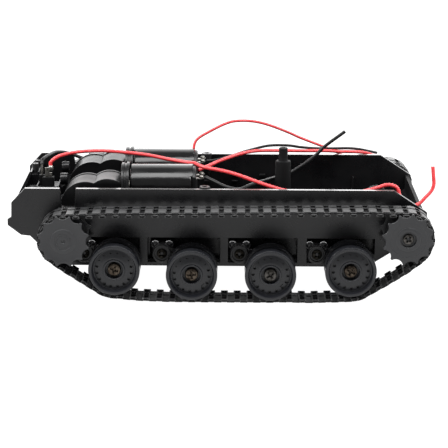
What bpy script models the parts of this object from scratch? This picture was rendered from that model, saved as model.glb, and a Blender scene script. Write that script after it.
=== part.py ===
"""Tracked robot chassis: a moulded tub, two geared motors, two rubber tracks and eight sprung road wheels.

Millimetres are used throughout and turned into metres where a mesh is made. +X is the idler end,
+Z is up, and the origin is on the ground under the middle of the chassis.
Side -1 is the right-hand side (-Y) and side +1 is the left-hand side (+Y).
"""
import math

import bmesh
import bpy
from mathutils import Vector

MM = 0.001
SIDES = {-1: "right", 1: "left"}
GAP = 0.3                      # clearance between neighbouring pieces

# Tub
PANEL_OUTER = 34.0             # outer face of a side panel, from the centre plane
PANEL_WALL = 1.5
SHELL_WALL = 1.6
TUB_TOP = 44.5
TUB_BOTTOM = 11.0
TUB_REAR = -89.5
TUB_FRONT = 87.7
POCKET_TOP = 23.4
POCKET_BOTTOM = 12.6
POCKET_FLOOR = 28.8            # how far in the wheel pockets reach
BLOCK_INNER = 27.3

# Running gear
LINK_PITCH = 5.44
SPROCKET_TEETH = 12
PITCH_R = SPROCKET_TEETH * LINK_PITCH / (2 * math.pi)
DRIVE = (-64.3, 26.55)         # drive axle, X and Z
IDLER_Z = 28.3
IDLER_X_GUESS = 78.3
WHEEL_R = 10.7
WHEEL_OUTER = 53.0             # front face of a road wheel, from the centre plane
WHEEL_INNER = 39.5
ARM_LENGTH = 13.8
ARM_PIVOT_Z = 17.35
ARM_PIVOTS = [-56.9 + 32.77 * k for k in range(4)]
ARM_ANGLES = [-12.5, -20.8, -20.8, -13.0]      # degrees above the horizontal, at rest
BELT_OUT = 0.85                # belt surface above its pitch line
BELT_IN = 0.25                 # belt underside below its pitch line
LUG_IN = 0.6                   # cross lug below the pitch line
BELT_EDGES = (38.6, 51.0)      # the belt runs between the sprocket flanges
OUTER_FLANGE = (51.3, 52.2)
INNER_FLANGE = (37.6, 38.3)
TIP_R, VALLEY_R, DRUM_R = 11.0, 9.25, 8.8
IDLER_SCREW_SEAT = 50.5
SHAFT_END = 50.2               # outer end of the drive shafts and idler spindles
ARM_FACES = (34.9, 37.3)
HUB_R, TIP_END_R, AXLE_R = 4.1, 3.3, 2.0
PIN_R, PIN_END = 1.5, 37.0

# Gearbox: output axle, cluster gear and crown gear centres lie in one side view
CLUSTER = (-57.0, 35.2)
CROWN = (-48.06, 40.7)
GEAR_MODULE = 0.7
GEARBOX_FACES = (9.7, 26.9)
MOTOR_Y = 15.0
MOTOR_Z = 40.7
MOTOR_R = 10.0
MOTOR_FLAT = 7.6
MOTOR_X = (-38.3, -12.0)
WIRE_R = 0.75


def material(name, colour, roughness, metallic=0.0):
    mat = bpy.data.materials.new(name)
    mat.use_nodes = True
    shader = mat.node_tree.nodes["Principled BSDF"]
    shader.inputs["Base Color"].default_value = (*colour, 1.0)
    shader.inputs["Roughness"].default_value = roughness
    shader.inputs["Metallic"].default_value = metallic
    mat.diffuse_color = (*colour, 1.0)
    return mat


def add_object(name, bm, mat, smooth=False):
    """Turn a bmesh in millimetres into an object in metres, with its faces pointing out."""
    bmesh.ops.recalc_face_normals(bm, faces=bm.faces)
    for vert in bm.verts:
        vert.co *= MM
    mesh = bpy.data.meshes.new(name)
    bm.to_mesh(mesh)
    bm.free()
    if smooth:
        mesh.shade_smooth()
        mesh.set_sharp_from_angle(angle=math.radians(35))
    mesh.materials.append(mat)
    obj = bpy.data.objects.new(name, mesh)
    bpy.context.collection.objects.link(obj)
    return obj


def combine(target, tool, operation):
    """Cut or join one object with another by a Boolean, and hide the tool."""
    tool.hide_render = True
    tool.display_type = "WIRE"
    modifier = target.modifiers.new(tool.name, "BOOLEAN")
    modifier.operation = operation
    modifier.object = tool
    modifier.solver = "EXACT"


def stack(rings, closed=False):
    """Skin equal rings of points one after another: capped at both ends, or closed into a loop."""
    bm = bmesh.new()
    rows = [[bm.verts.new(point) for point in ring] for ring in rings]
    count = len(rows[0])
    pairs = list(zip(rows, rows[1:]))
    if closed:
        pairs.append((rows[-1], rows[0]))
    else:
        bm.faces.new(rows[0])
        bm.faces.new(rows[-1])
    for low, high in pairs:
        for i in range(count):
            j = (i + 1) % count
            bm.faces.new((low[i], low[j], high[j], high[i]))
    return bm


def prism(outline, y_low, y_high):
    """Extrude an outline in the X-Z plane from one Y to another."""
    return stack([[(x, y, z) for x, z in outline] for y in (y_low, y_high)])


def side_prism(outline, side, near, far):
    """The same, between two distances from the centre plane on one side."""
    low, high = sorted((side * near, side * far))
    return prism(outline, low, high)


def box(low, high):
    corners = [(low[0], low[2]), (high[0], low[2]), (high[0], high[2]), (low[0], high[2])]
    return prism(corners, low[1], high[1])


def circle(cx, cz, radius, count, phase=0.0):
    return [(cx + radius * math.cos(phase + 2 * math.pi * i / count),
             cz + radius * math.sin(phase + 2 * math.pi * i / count)) for i in range(count)]


def arc(cx, cz, radius, start, stop, count):
    """Points along an arc, angles in degrees."""
    angles = [math.radians(start + (stop - start) * i / count) for i in range(count + 1)]
    return [(cx + radius * math.cos(a), cz + radius * math.sin(a)) for a in angles]


def turned(profile, centre, side, count, closed=True):
    """Turn a profile of (radius, distance from the centre plane) about an axle along Y."""
    rings = []
    for radius, y in profile:
        rings.append([(x, side * y, z) for x, z in circle(*centre, radius, count)])
    return stack(rings, closed)


def turned_along_x(profile, y, z, count, flat=None, closed=False):
    """Turn a profile of (radius, X) about an axis along X, with optional flats at the sides."""
    rings = []
    for radius, x in profile:
        ring = circle(y, z, radius, count, math.pi / count)
        if flat:
            ring = [(min(max(a, y - flat), y + flat), b) for a, b in ring]
        rings.append([(x, a, b) for a, b in ring])
    return stack(rings, closed)


def offset_path(points, distance):
    """Shift an open path to its left by a distance, with mitred corners."""
    path = [Vector(p) for p in points]
    shifted = []
    for i, point in enumerate(path):
        normals = []
        for a, b in ((i - 1, i), (i, i + 1)):
            if a >= 0 and b < len(path):
                along = (path[b] - path[a]).normalized()
                normals.append(Vector((-along.y, along.x)))
        mean = sum(normals, Vector((0, 0))).normalized()
        shifted.append(tuple(point + mean * distance / mean.dot(normals[0])))
    return shifted


# ---------------------------------------------------------------- tub

PANEL_OUTLINE = [
    (-81.9, TUB_TOP), (-67.3, TUB_TOP), (-66.4, 36.7), (-61.0, 36.7), (-60.4, TUB_TOP),
    (73.5, TUB_TOP), (TUB_FRONT, 35.2), (TUB_FRONT, 27.0), (67.4, 13.9), (62.9, TUB_BOTTOM),
    (-67.4, TUB_BOTTOM), (-80.1, 23.8), (-83.9, 24.2), (TUB_REAR, 28.5), (TUB_REAR, 31.0),
    (-87.9, 32.0), (-87.7, 38.3),
]
SHELL_PATH = [
    (-86.5, 38.4), (-86.5, 27.8), (-83.5, 25.3), (-79.7, 24.9), (-66.9, 12.1), (62.4, 12.1),
    (67.0, 14.9), (86.6, 27.8), (86.6, 35.2),
]
POCKETS = [(-58.0, -33.7), (-30.3, 0.4), (3.9, 33.2), (37.3, 66.0)]


def make_pockets(tub, side, word, mat):
    """A thick block behind the side panel with a pocket for each road wheel."""
    slope = [(-59.5, 11.5), (-59.5, 24.8), (67.0, 24.8), (67.0, 15.6), (60.7, 11.5)]
    block = side_prism(slope, side, BLOCK_INNER, PANEL_OUTER - 0.4)
    combine(tub, add_object(f"pocket_block_{word}", block, mat), "UNION")
    for k, (start, stop) in enumerate(POCKETS):
        clipped = stop > 60
        outline = [(start, POCKET_BOTTOM), (stop - 6.0 if clipped else stop, POCKET_BOTTOM),
                   (stop, POCKET_BOTTOM + (4.0 if clipped else 0.5)), (stop, POCKET_TOP), (start, POCKET_TOP)]
        cut = side_prism(outline, side, POCKET_FLOOR, PANEL_OUTER + 6.0)
        combine(tub, add_object(f"pocket_{word}_{k}", cut, mat), "DIFFERENCE")


def make_arm_seats(tub, side, word, mat):
    """A rounded spring housing and a pin for each arm."""
    corners = ((3.2, 2.9, 0), (-3.2, 2.9, 90), (-3.2, -1.6, 180), (3.2, -1.6, 270))
    for k, pivot in enumerate(ARM_PIVOTS):
        rounded = []
        for dx, dz, start in corners:
            rounded += arc(pivot + dx, ARM_PIVOT_Z + dz, 2.2, start, start + 90, 2)
        housing = side_prism(rounded, side, POCKET_FLOOR - 0.6, ARM_FACES[0] - GAP)
        combine(tub, add_object(f"spring_housing_{word}_{k}", housing, mat), "UNION")
        pin = side_prism(circle(pivot, ARM_PIVOT_Z, PIN_R, 12), side, PANEL_OUTER, PIN_END)
        combine(tub, add_object(f"arm_pin_{word}_{k}", pin, mat), "UNION")


def make_deck_boss(tub, side, word, mat):
    """A screw boss on the rim for a deck plate."""
    x, y = -6.2, side * 31.2
    boss = stack([[(a, b, z) for a, b in circle(x, y, 2.3, 14)] for z in (38.0, 45.2)])
    combine(tub, add_object(f"deck_boss_{word}", boss, mat), "UNION")
    hole = stack([[(a, b, z) for a, b in circle(x, y, 1.0, 10)] for z in (40.0, 46.0)])
    combine(tub, add_object(f"deck_boss_hole_{word}", hole, mat), "DIFFERENCE")


def make_tub(mat, idler):
    inner = offset_path(SHELL_PATH, SHELL_WALL)
    half_width = PANEL_OUTER - 1.0
    tub = add_object("hull_tub", prism(SHELL_PATH + inner[::-1], -half_width, half_width), mat)
    for side, word in SIDES.items():
        panel = side_prism(PANEL_OUTLINE, side, PANEL_OUTER - PANEL_WALL, PANEL_OUTER)
        combine(tub, add_object(f"panel_{word}", panel, mat), "UNION")
        make_pockets(tub, side, word, mat)
        make_arm_seats(tub, side, word, mat)
        spindle = [(5.2, 33.0), (4.6, INNER_FLANGE[0] - GAP), (2.0, INNER_FLANGE[0] - GAP), (2.0, SHAFT_END)]
        boss = turned(spindle, idler, side, 20, closed=False)
        combine(tub, add_object(f"idler_spindle_{word}", boss, mat), "UNION")
        hole = side_prism(circle(*DRIVE, 2.2, 16), side, 30.0, 38.0)
        combine(tub, add_object(f"axle_hole_{word}", hole, mat), "DIFFERENCE")
        make_deck_boss(tub, side, word, mat)
    fittings = {
        "terminal_board": ((-80.6, -5.0, 20.0), (-70.8, 9.0, 38.0)),
        "board_stay": ((-86.0, -2.0, 30.0), (-80.0, 6.0, 36.0)),
        "rear_ledge": ((-85.4, 13.8, 31.0), (-81.2, 33.0, 40.0)),
    }
    for name, (low, high) in fittings.items():
        combine(tub, add_object(name, box(low, high), mat), "UNION")


def make_post(mat):
    """Tall deck standoff with a screw hole in its top."""
    profile = [(4.4, 14.0), (3.9, 20.0), (3.5, 37.0), (3.2, 49.1), (1.95, 49.3), (1.95, 55.0),
               (0.9, 55.0), (0.9, 48.5)]
    rings = [[(x, y, z) for x, y in circle(27.8, 0.0, radius, 20)] for radius, z in profile]
    add_object("deck_post", stack(rings), mat, smooth=True)


def make_terminals(mat):
    step = [(-76.9, 38.3), (-73.9, 38.3), (-73.9, 43.2), (-75.0, 43.2), (-75.0, 45.4), (-76.9, 45.4)]
    add_object("terminal_red", prism(step, -0.4, 0.4), mat)
    blade = [(-79.3, 38.3), (-77.7, 38.3), (-77.7, 46.2), (-79.3, 46.2)]
    add_object("terminal_black", prism(blade, 1.6, 2.2), mat)


# ---------------------------------------------------------------- track

def belt_pieces(circles):
    """Straight and curved pieces of a belt pulled round circles given anticlockwise as (x, z, r)."""
    normals = []
    for (x0, z0, r0), (x1, z1, r1) in zip(circles, circles[1:] + circles[:1]):
        along = Vector((x1 - x0, z1 - z0))
        lean = (r0 - r1) / along.length
        along.normalize()
        out = Vector((along.y, -along.x))
        normals.append(along * lean + out * math.sqrt(1 - lean * lean))
    pieces = []
    for i, (x, z, r) in enumerate(circles):
        start, stop = normals[i - 1], normals[i]
        first = math.atan2(start.y, start.x)
        sweep = (math.atan2(stop.y, stop.x) - first) % (2 * math.pi)
        pieces.append(("arc", x, z, r, first, sweep, r * sweep))
        x1, z1, r1 = circles[(i + 1) % len(circles)]
        begin = Vector((x, z)) + stop * r
        end = Vector((x1, z1)) + stop * r1
        pieces.append(("line", begin, end, stop, (end - begin).length))
    return pieces


def belt_point(pieces, distance):
    """Point and outward normal at a distance along the belt."""
    distance %= sum(piece[-1] for piece in pieces)
    for piece in pieces:
        if distance <= piece[-1] or piece is pieces[-1]:
            break
        distance -= piece[-1]
    if piece[0] == "arc":
        _, x, z, r, first, sweep, length = piece
        angle = first + distance / r
        normal = Vector((math.cos(angle), math.sin(angle)))
        return Vector((x, z)) + normal * r, normal
    _, begin, end, normal, length = piece
    return begin.lerp(end, distance / length), normal


def wheel_centre(k):
    angle = math.radians(ARM_ANGLES[k])
    return (ARM_PIVOTS[k] + ARM_LENGTH * math.cos(angle), ARM_PIVOT_Z + ARM_LENGTH * math.sin(angle))


def belt_circles(idler_x):
    riding = WHEEL_R + GAP + LUG_IN
    wheels = [(*wheel_centre(k), riding) for k in range(4)]
    return [(*DRIVE, PITCH_R), *wheels, (idler_x, IDLER_Z, PITCH_R)]


def belt_length(idler_x):
    return sum(piece[-1] for piece in belt_pieces(belt_circles(idler_x)))


def fitted_idler():
    """The idler is set where the belt is a whole number of links long, as its tensioner does."""
    links = round(belt_length(IDLER_X_GUESS) / LINK_PITCH)
    low, high = IDLER_X_GUESS - 3.0, IDLER_X_GUESS + 3.0
    for _ in range(40):
        middle = (low + high) / 2
        if belt_length(middle) < links * LINK_PITCH:
            low = middle
        else:
            high = middle
    return (low, IDLER_Z), links


def make_track(side, word, idler, links, mat):
    """One closed belt with a cross lug at every link; lug 0 sits on top of the drive sprocket."""
    pieces = belt_pieces(belt_circles(idler[0]))
    first, sweep = pieces[0][4], pieces[0][5]
    top = PITCH_R * ((math.pi / 2 - first) % (2 * math.pi))
    stations = ((-2.0, False), (-1.4, True), (1.4, True), (2.0, False))
    rings = []
    for link in range(links):
        for shift, lug in stations:
            point, normal = belt_point(pieces, top + link * LINK_PITCH + shift)
            outer = point + normal * BELT_OUT
            inner = point - normal * (LUG_IN if lug else BELT_IN)
            far, near = (side * edge for edge in BELT_EDGES)
            rings.append([(outer.x, far, outer.y), (outer.x, near, outer.y),
                          (inner.x, near, inner.y), (inner.x, far, inner.y)])
    add_object(f"track_{word}", stack(rings, closed=True), mat)


def lug_phase(idler, links):
    """Angle of one cross lug round the idler, so that its valleys can take the lugs."""
    pieces = belt_pieces(belt_circles(idler[0]))
    top = PITCH_R * ((math.pi / 2 - pieces[0][4]) % (2 * math.pi))
    before = sum(piece[-1] for piece in pieces[:-2])
    link = math.ceil((before + 0.01 - top) / LINK_PITCH)
    return pieces[-2][4] + (top + link * LINK_PITCH - before) / PITCH_R


def make_sprocket(name, centre, side, bore, phase, mat, recess=False):
    """Drum with a scalloped flange at each end; a valley lies at the phase angle."""
    step = 2 * math.pi / SPROCKET_TEETH

    def ring(y, valley, tip):
        points = []
        for k in range(SPROCKET_TEETH):
            for fraction, radius in ((-0.25, valley), (0.25, valley), (0.5, tip)):
                angle = phase + (k + fraction) * step
                points.append((centre[0] + radius * math.cos(angle), side * y,
                               centre[1] + radius * math.sin(angle)))
        return points

    (outer_back, face), (back, inner_front) = OUTER_FLANGE, INNER_FLANGE
    rings = [ring(face, VALLEY_R, TIP_R), ring(outer_back, VALLEY_R, TIP_R), ring(outer_back, DRUM_R, DRUM_R),
             ring(inner_front, DRUM_R, DRUM_R), ring(inner_front, VALLEY_R, TIP_R),
             ring(back, VALLEY_R, TIP_R), ring(back, bore, bore)]
    if recess:
        seat = 3.6
        rings += [ring(IDLER_SCREW_SEAT, bore, bore), ring(IDLER_SCREW_SEAT, seat, seat),
                  ring(face, seat, seat)]
    else:
        rings += [ring(face, bore, bore)]
    return add_object(name, stack(rings, closed=True), mat)


# ---------------------------------------------------------------- suspension

def make_wheel(name, k, side, mat):
    outer, inner = WHEEL_OUTER, WHEEL_INNER
    profile = [(2.3, outer - 3.4), (3.7, outer - 3.4), (3.7, outer - 0.6), (4.3, outer - 0.6),
               (8.4, outer - 1.5), (8.7, outer), (WHEEL_R, outer), (WHEEL_R, outer - 4.6),
               (7.6, outer - 4.9), (7.6, inner + 4.9), (WHEEL_R, inner + 4.6), (WHEEL_R, inner),
               (2.3, inner)]
    add_object(name, turned(profile, wheel_centre(k), side, 16), mat, smooth=True)


def make_arm(name, k, side, mat):
    """Trailing arm: a hub on the tub's pin, a flat link and the wheel's axle."""
    pivot = (ARM_PIVOTS[k], ARM_PIVOT_Z)
    axle = wheel_centre(k)
    lean = ARM_ANGLES[k]
    outline = (arc(*pivot, HUB_R, lean + 86, lean + 274, 8)
               + arc(*axle, TIP_END_R, lean - 86, lean + 86, 6))
    arm = add_object(name, side_prism(outline, side, *ARM_FACES), mat)
    shaft = side_prism(circle(*axle, AXLE_R, 16), side, ARM_FACES[1] - 0.5, WHEEL_OUTER - 3.7)
    combine(arm, add_object(f"{name}_axle", shaft, mat), "UNION")
    bore = side_prism(circle(*pivot, PIN_R + GAP, 12), side, ARM_FACES[0] - 2.0, ARM_FACES[1] + 2.0)
    combine(arm, add_object(f"{name}_bore", bore, mat), "DIFFERENCE")


def make_screw(name, centre, side, face, mat):
    """Pan-head screw, drawn as its head and a short neck."""
    profile = [(2.9, face - 1.6), (2.9, face - 0.7), (1.8, face)]
    add_object(name, turned(profile, centre, side, 12, closed=False), mat, smooth=True)


# ---------------------------------------------------------------- gear train and motors

def gear_outline(centre, teeth, phase):
    """Trapezoid teeth, thinned and shortened so that a pair runs with backlash."""
    pitch_r = GEAR_MODULE * teeth / 2
    outline = []
    for k in range(teeth):
        for fraction, radius in ((-0.26, pitch_r - 0.75), (-0.12, pitch_r + 0.4),
                                 (0.12, pitch_r + 0.4), (0.26, pitch_r - 0.75)):
            angle = phase + (k + fraction) * 2 * math.pi / teeth
            outline.append((centre[0] + radius * math.cos(angle), centre[1] + radius * math.sin(angle)))
    return outline


OUTPUT_TEETH = 22
CLUSTER_SMALL, CLUSTER_LARGE = 10, 23
CROWN_SMALL, CROWN_TEETH = 7, 14
PINION_TEETH = 6
TO_CLUSTER = math.atan2(CLUSTER[1] - DRIVE[1], CLUSTER[0] - DRIVE[0])
TO_CROWN = math.atan2(CROWN[1] - CLUSTER[1], CROWN[0] - CLUSTER[0])


def make_gear_train(side, word, mat, steel):
    shaft = add_object(f"output_gear_{word}", side_prism(
        gear_outline(DRIVE, OUTPUT_TEETH, TO_CLUSTER), side, 22.5, 25.0), mat)
    rod = side_prism(circle(*DRIVE, 1.5, 14), side, 14.0, SHAFT_END)
    combine(shaft, add_object(f"output_rod_{word}", rod, mat), "UNION")

    small = gear_outline(CLUSTER, CLUSTER_SMALL, TO_CLUSTER + math.pi + math.pi / CLUSTER_SMALL)
    cluster = add_object(f"cluster_gear_{word}", side_prism(small, side, 20.8, 25.2), mat)
    large = side_prism(gear_outline(CLUSTER, CLUSTER_LARGE, TO_CROWN), side, 19.8, 21.8)
    combine(cluster, add_object(f"cluster_large_{word}", large, mat), "UNION")

    small = gear_outline(CROWN, CROWN_SMALL, TO_CROWN + math.pi + math.pi / CROWN_SMALL)
    crown = add_object(f"crown_gear_{word}", side_prism(small, side, 18.6, 22.0), mat)
    plate = side_prism(circle(*CROWN, 4.4, 28), side, 18.2, 19.3)
    combine(crown, add_object(f"crown_plate_{word}", plate, mat), "UNION")
    for k in range(CROWN_TEETH):
        angle = 2 * math.pi * k / CROWN_TEETH
        along = Vector((math.cos(angle), math.sin(angle)))
        across = Vector((-along.y, along.x)) * 0.28
        centre = Vector(CROWN)
        tooth = [centre + along * 3.1 - across, centre + along * 4.2 - across,
                 centre + along * 4.2 + across, centre + along * 3.1 + across]
        piece = side_prism([tuple(p) for p in tooth], side, 16.95, 18.6)
        combine(crown, add_object(f"crown_tooth_{word}_{k}", piece, mat), "UNION")

    rings = []
    for x, wide in ((-45.3, True), (-43.7, True), (-43.7, False), (-35.6, False)):
        ring = []
        for k in range(PINION_TEETH):
            for fraction, radius in ((-0.3, 1.3), (-0.12, 2.0), (0.12, 2.0), (0.3, 1.3)):
                angle = math.pi / 2 + (k + fraction) * 2 * math.pi / PINION_TEETH
                r = radius if wide else 0.75
                ring.append((x, side * MOTOR_Y + r * math.cos(angle), MOTOR_Z + r * math.sin(angle)))
        rings.append(ring)
    add_object(f"motor_pinion_{word}", stack(rings), steel)


def gearbox_outline():
    """Side view of the case: output lobe, two upper lobes and a flat foot."""
    right, foot = -42.5, 14.0
    return (arc(*DRIVE, 9.8, 225, 112, 8)
            + arc(*CLUSTER, 10.2, 172, 72, 8)
            + arc(-47.6, 37.4, 9.3, 128, 57, 6)
            + [(right, foot), (-65.7, foot)])


def make_gearbox(side, word, mat):
    inner, outer = GEARBOX_FACES
    outline = gearbox_outline()
    case = add_object(f"gearbox_case_{word}", side_prism(outline, side, inner + 1.8, outer), mat)
    hollow = [circle(*DRIVE, 8.7, 24), circle(*CLUSTER, 9.0, 24),
              [(-53.0, 34.0), (-43.4, 34.0), (-43.4, 43.4), (-45.2, 45.3), (-50.5, 45.3), (-53.0, 43.5)]]
    for k, shape in enumerate(hollow):
        cut = side_prism(shape, side, inner, outer - 1.3)
        combine(case, add_object(f"gearbox_hollow_{word}_{k}", cut, mat), "DIFFERENCE")
    hole = side_prism(circle(*DRIVE, 1.9, 14), side, outer - 3, outer + 2)
    combine(case, add_object(f"gearbox_axle_hole_{word}", hole, mat), "DIFFERENCE")
    shaft_hole = turned_along_x([(1.3, -44.4), (1.3, -41.0)], side * MOTOR_Y, MOTOR_Z, 12)
    combine(case, add_object(f"gearbox_shaft_hole_{word}", shaft_hole, mat), "DIFFERENCE")
    add_object(f"gearbox_cover_{word}", side_prism(outline, side, inner, inner + 1.5), mat)


def make_motor(side, word, can_mat, bell_mat):
    y = side * MOTOR_Y
    front, rear = MOTOR_X
    profile = [(MOTOR_R, rear), (MOTOR_R, front), (3.0, front), (3.0, front - 1.3), (1.05, front - 1.3),
               (1.05, front + 3.2)]
    add_object(f"motor_{word}", turned_along_x(profile, y, MOTOR_Z, 24, MOTOR_FLAT), can_mat, smooth=True)
    cap = [(9.4, rear + GAP), (9.4, rear + 1.9), (2.6, rear + 1.9), (2.6, rear + 2.9)]
    bell = add_object(f"motor_end_bell_{word}", turned_along_x(cap, y, MOTOR_Z, 24, 7.0), bell_mat)
    for k, (dy, z) in enumerate(((3.0, 45.2), (-3.0, 45.2))):
        tab = box((rear + 1.0, y + dy - 1.1, z), (rear + 5.2, y + dy + 1.1, z + 0.6))
        combine(bell, add_object(f"motor_tab_{word}_{k}", tab, bell_mat), "UNION")


def make_motor_clip(side, word, mat):
    """Arched holder that stands on the floor over the motor's nose."""
    y, foot, outer, inner = side * MOTOR_Y, 14.0, 11.3, 9.9
    outline = ([(y + outer, foot)] + arc(y, MOTOR_Z, outer, 0, 180, 14) + [(y - outer, foot)]
               + [(y - inner, foot)] + arc(y, MOTOR_Z, inner, 180, 0, 14) + [(y + inner, foot)])
    faces = (MOTOR_X[0] - 3.8, MOTOR_X[0] - 0.4)
    add_object(f"motor_clip_{word}", stack([[(x, a, b) for a, b in outline] for x in faces]), mat)


# ---------------------------------------------------------------- wires

WIRE_ROUTES = {
    "wire_red_left_motor": [
        (-9.0, 17.6, 50.4), (-9.7, 18.5, 54.3), (-4.7, 19.5, 58.1), (3.4, 21.0, 61.8), (9.2, 22.3, 62.5),
        (16.1, 23.8, 61.8), (22.9, 25.5, 59.7), (31.7, 28.0, 55.8), (36.4, 29.3, 53.4), (46.2, 31.9, 49.1),
        (51.0, 33.4, 46.9), (54.0, 35.4, 45.2), (57.0, 38.5, 43.0), (60.5, 42.0, 41.4), (66.0, 44.5, 41.1)],
    "wire_red_right_motor": [
        (-9.1, -12.0, 48.0), (-5.6, -9.0, 48.7), (-3.0, -6.5, 49.3), (0.0, -4.0, 50.1), (8.2, 2.0, 51.7),
        (16.0, 8.0, 51.9), (25.1, 14.0, 50.8), (38.5, 22.0, 48.9), (48.4, 28.0, 47.6), (55.0, 31.0, 46.6),
        (63.0, 33.6, 45.9), (67.5, 36.0, 44.8), (71.0, 39.5, 42.9), (74.0, 43.0, 42.0)],
    "wire_black_left_motor": [
        (-5.8, 12.0, 46.2), (-1.0, 13.0, 46.6), (5.0, 15.5, 47.8), (11.0, 18.0, 49.3), (16.1, 20.0, 50.3),
        (20.7, 21.5, 51.1), (25.3, 23.0, 51.2), (31.7, 25.0, 50.6), (36.4, 26.5, 49.6), (43.8, 28.9, 48.5),
        (52.0, 31.2, 48.0), (59.0, 33.6, 47.6), (64.0, 37.0, 46.4), (69.0, 41.0, 44.6), (73.0, 46.5, 42.6)],
    "wire_black_right_motor": [
        (-5.8, -18.0, 46.2), (-2.5, -21.0, 45.4), (3.0, -24.5, 43.6), (8.7, -25.0, 42.8), (14.0, -19.0, 43.4),
        (19.0, -9.0, 42.4), (24.1, 3.0, 40.9), (28.1, 7.2, 41.0), (32.0, 8.6, 42.2), (38.2, 10.0, 46.0),
        (42.8, 11.0, 49.5), (46.9, 11.0, 53.7), (55.5, 10.0, 60.6)],
    "wire_red_supply": [
        (-74.2, 1.4, 45.2), (-74.6, 1.4, 47.4), (-72.7, 2.0, 49.2), (-70.1, 3.0, 50.4), (-64.4, 4.0, 51.6),
        (-57.7, 4.0, 52.3), (-48.8, 3.0, 52.6), (-39.9, 2.0, 52.1), (-31.0, 0.0, 51.5), (-22.1, -3.0, 50.4),
        (-13.4, -8.0, 50.2), (-10.8, -10.8, 50.7),
        (-7.0, -15.0, 50.0), (1.6, -19.0, 49.3), (8.5, -22.0, 48.1),
        (20.3, -27.5, 45.2), (28.1, -30.0, 43.6), (38.0, -30.8, 42.0), (50.0, -30.8, 42.0),
        (60.0, -30.4, 43.4), (66.9, -29.7, 45.0),
        (69.6, -29.2, 45.9), (72.1, -28.8, 46.1), (74.6, -28.8, 45.4),
        (75.9, -29.1, 43.9), (76.6, -29.8, 41.4),
        (79.0, -30.6, 38.2), (82.4, -30.6, 37.5), (85.0, -30.0, 38.4),
        (87.2, -29.2, 40.6), (90.0, -28.0, 43.4),
        (91.0, -27.6, 46.1), (90.8, -27.0, 49.4), (90.4, -26.5, 53.7)],
    "wire_black_supply": [
        (-78.5, 3.3, 46.4), (-78.4, 5.0, 48.0), (-76.4, 12.0, 48.4), (-73.9, 22.0, 47.6), (-69.2, 29.2, 45.4),
        (-60.0, 29.8, 42.0), (-48.0, 29.8, 39.0),
        (-34.0, 29.0, 34.0), (-18.0, 26.0, 28.0), (-4.0, 19.0, 22.0),
        (10.0, 8.0, 18.0), (22.0, -7.0, 17.0), (34.0, -18.0, 20.0), (46.0, -25.0, 29.0), (56.0, -28.4, 38.5),
        (62.9, -28.4, 43.0), (64.2, -27.6, 44.2),
        (66.4, -26.6, 44.6), (68.5, -26.2, 44.2), (70.6, -26.0, 42.0)],
}


def smooth_route(points, spacing):
    """Evenly spaced points on one smooth curve through a wire's route."""
    route = [Vector(p) for p in points]
    ends = [route[0] * 2 - route[1]] + route + [route[-1] * 2 - route[-2]]
    fine = []
    for a, b, c, d in zip(ends, ends[1:], ends[2:], ends[3:]):
        for i in range(16):
            t = i / 16
            fine.append(0.5 * ((2 * b) + (c - a) * t + (2 * a - 5 * b + 4 * c - d) * t ** 2
                               + (3 * b - a - 3 * c + d) * t ** 3))
    fine.append(route[-1])
    lengths = [0.0]
    for a, b in zip(fine, fine[1:]):
        lengths.append(lengths[-1] + (b - a).length)
    count = round(lengths[-1] / spacing)
    even, j = [], 0
    for i in range(count + 1):
        want = lengths[-1] * i / count
        while j < len(fine) - 2 and lengths[j + 1] < want:
            j += 1
        even.append(fine[j].lerp(fine[j + 1], (want - lengths[j]) / (lengths[j + 1] - lengths[j])))
    return even


def make_wire(name, route, mat):
    points = smooth_route(route, 6 * WIRE_R)
    curve = bpy.data.curves.new(name, "CURVE")
    curve.dimensions = "3D"
    curve.bevel_depth = WIRE_R * MM
    curve.bevel_resolution = 2
    curve.use_fill_caps = True
    spline = curve.splines.new("POLY")
    spline.points.add(len(points) - 1)
    for slot, point in zip(spline.points, points):
        slot.co = (*(point * MM), 1.0)
    curve.materials.append(mat)
    bpy.context.collection.objects.link(bpy.data.objects.new(name, curve))


# ---------------------------------------------------------------- assembly

def main():
    for obj in list(bpy.data.objects):
        bpy.data.objects.remove(obj)
    black = material("black_plastic", (0.035, 0.035, 0.037), 0.42)
    rubber = material("track_rubber", (0.028, 0.028, 0.030), 0.6)
    wheel = material("wheel_plastic", (0.045, 0.046, 0.050), 0.5)
    gear = material("gear_plastic", (0.75, 0.74, 0.70), 0.5)
    sleeve = material("motor_sleeve", (0.03, 0.03, 0.03), 0.25)
    steel = material("steel", (0.45, 0.43, 0.40), 0.35, 1.0)
    red = material("red_insulation", (0.62, 0.03, 0.04), 0.4)
    dark = material("black_insulation", (0.02, 0.02, 0.02), 0.4)

    idler, links = fitted_idler()
    make_tub(black, idler)
    make_post(black)
    make_terminals(steel)
    for side, word in SIDES.items():
        make_gearbox(side, word, black)
        make_gear_train(side, word, gear, steel)
        make_motor(side, word, sleeve, black)
        make_motor_clip(side, word, black)
        make_track(side, word, idler, links, rubber)
        make_sprocket(f"drive_sprocket_{word}", DRIVE, side, 1.8, math.pi / 2, wheel)
        make_sprocket(f"idler_sprocket_{word}", idler, side, 2.3, lug_phase(idler, links), wheel,
                      recess=True)
        make_screw(f"idler_screw_{word}", idler, side, 52.4, steel)
        for k in range(4):
            make_arm(f"arm_{word}_{k + 1}", k, side, black)
            make_wheel(f"road_wheel_{word}_{k + 1}", k, side, wheel)
            make_screw(f"wheel_screw_{word}_{k + 1}", wheel_centre(k), side, WHEEL_OUTER - 1.5, steel)
    for name, route in WIRE_ROUTES.items():
        make_wire(name, route, red if "red" in name else dark)


main()
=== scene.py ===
"""Looks for the tracked robot chassis.

Lengths are millimetres until a mesh is made, in the same frame as the solids: +X is the idler end, +Z is up.
Side -1 is the right-hand side (-Y), which the camera sees, and side +1 is the left-hand side (+Y).
"""
import math

import bmesh
import bpy
from mathutils import Matrix, Vector


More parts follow.
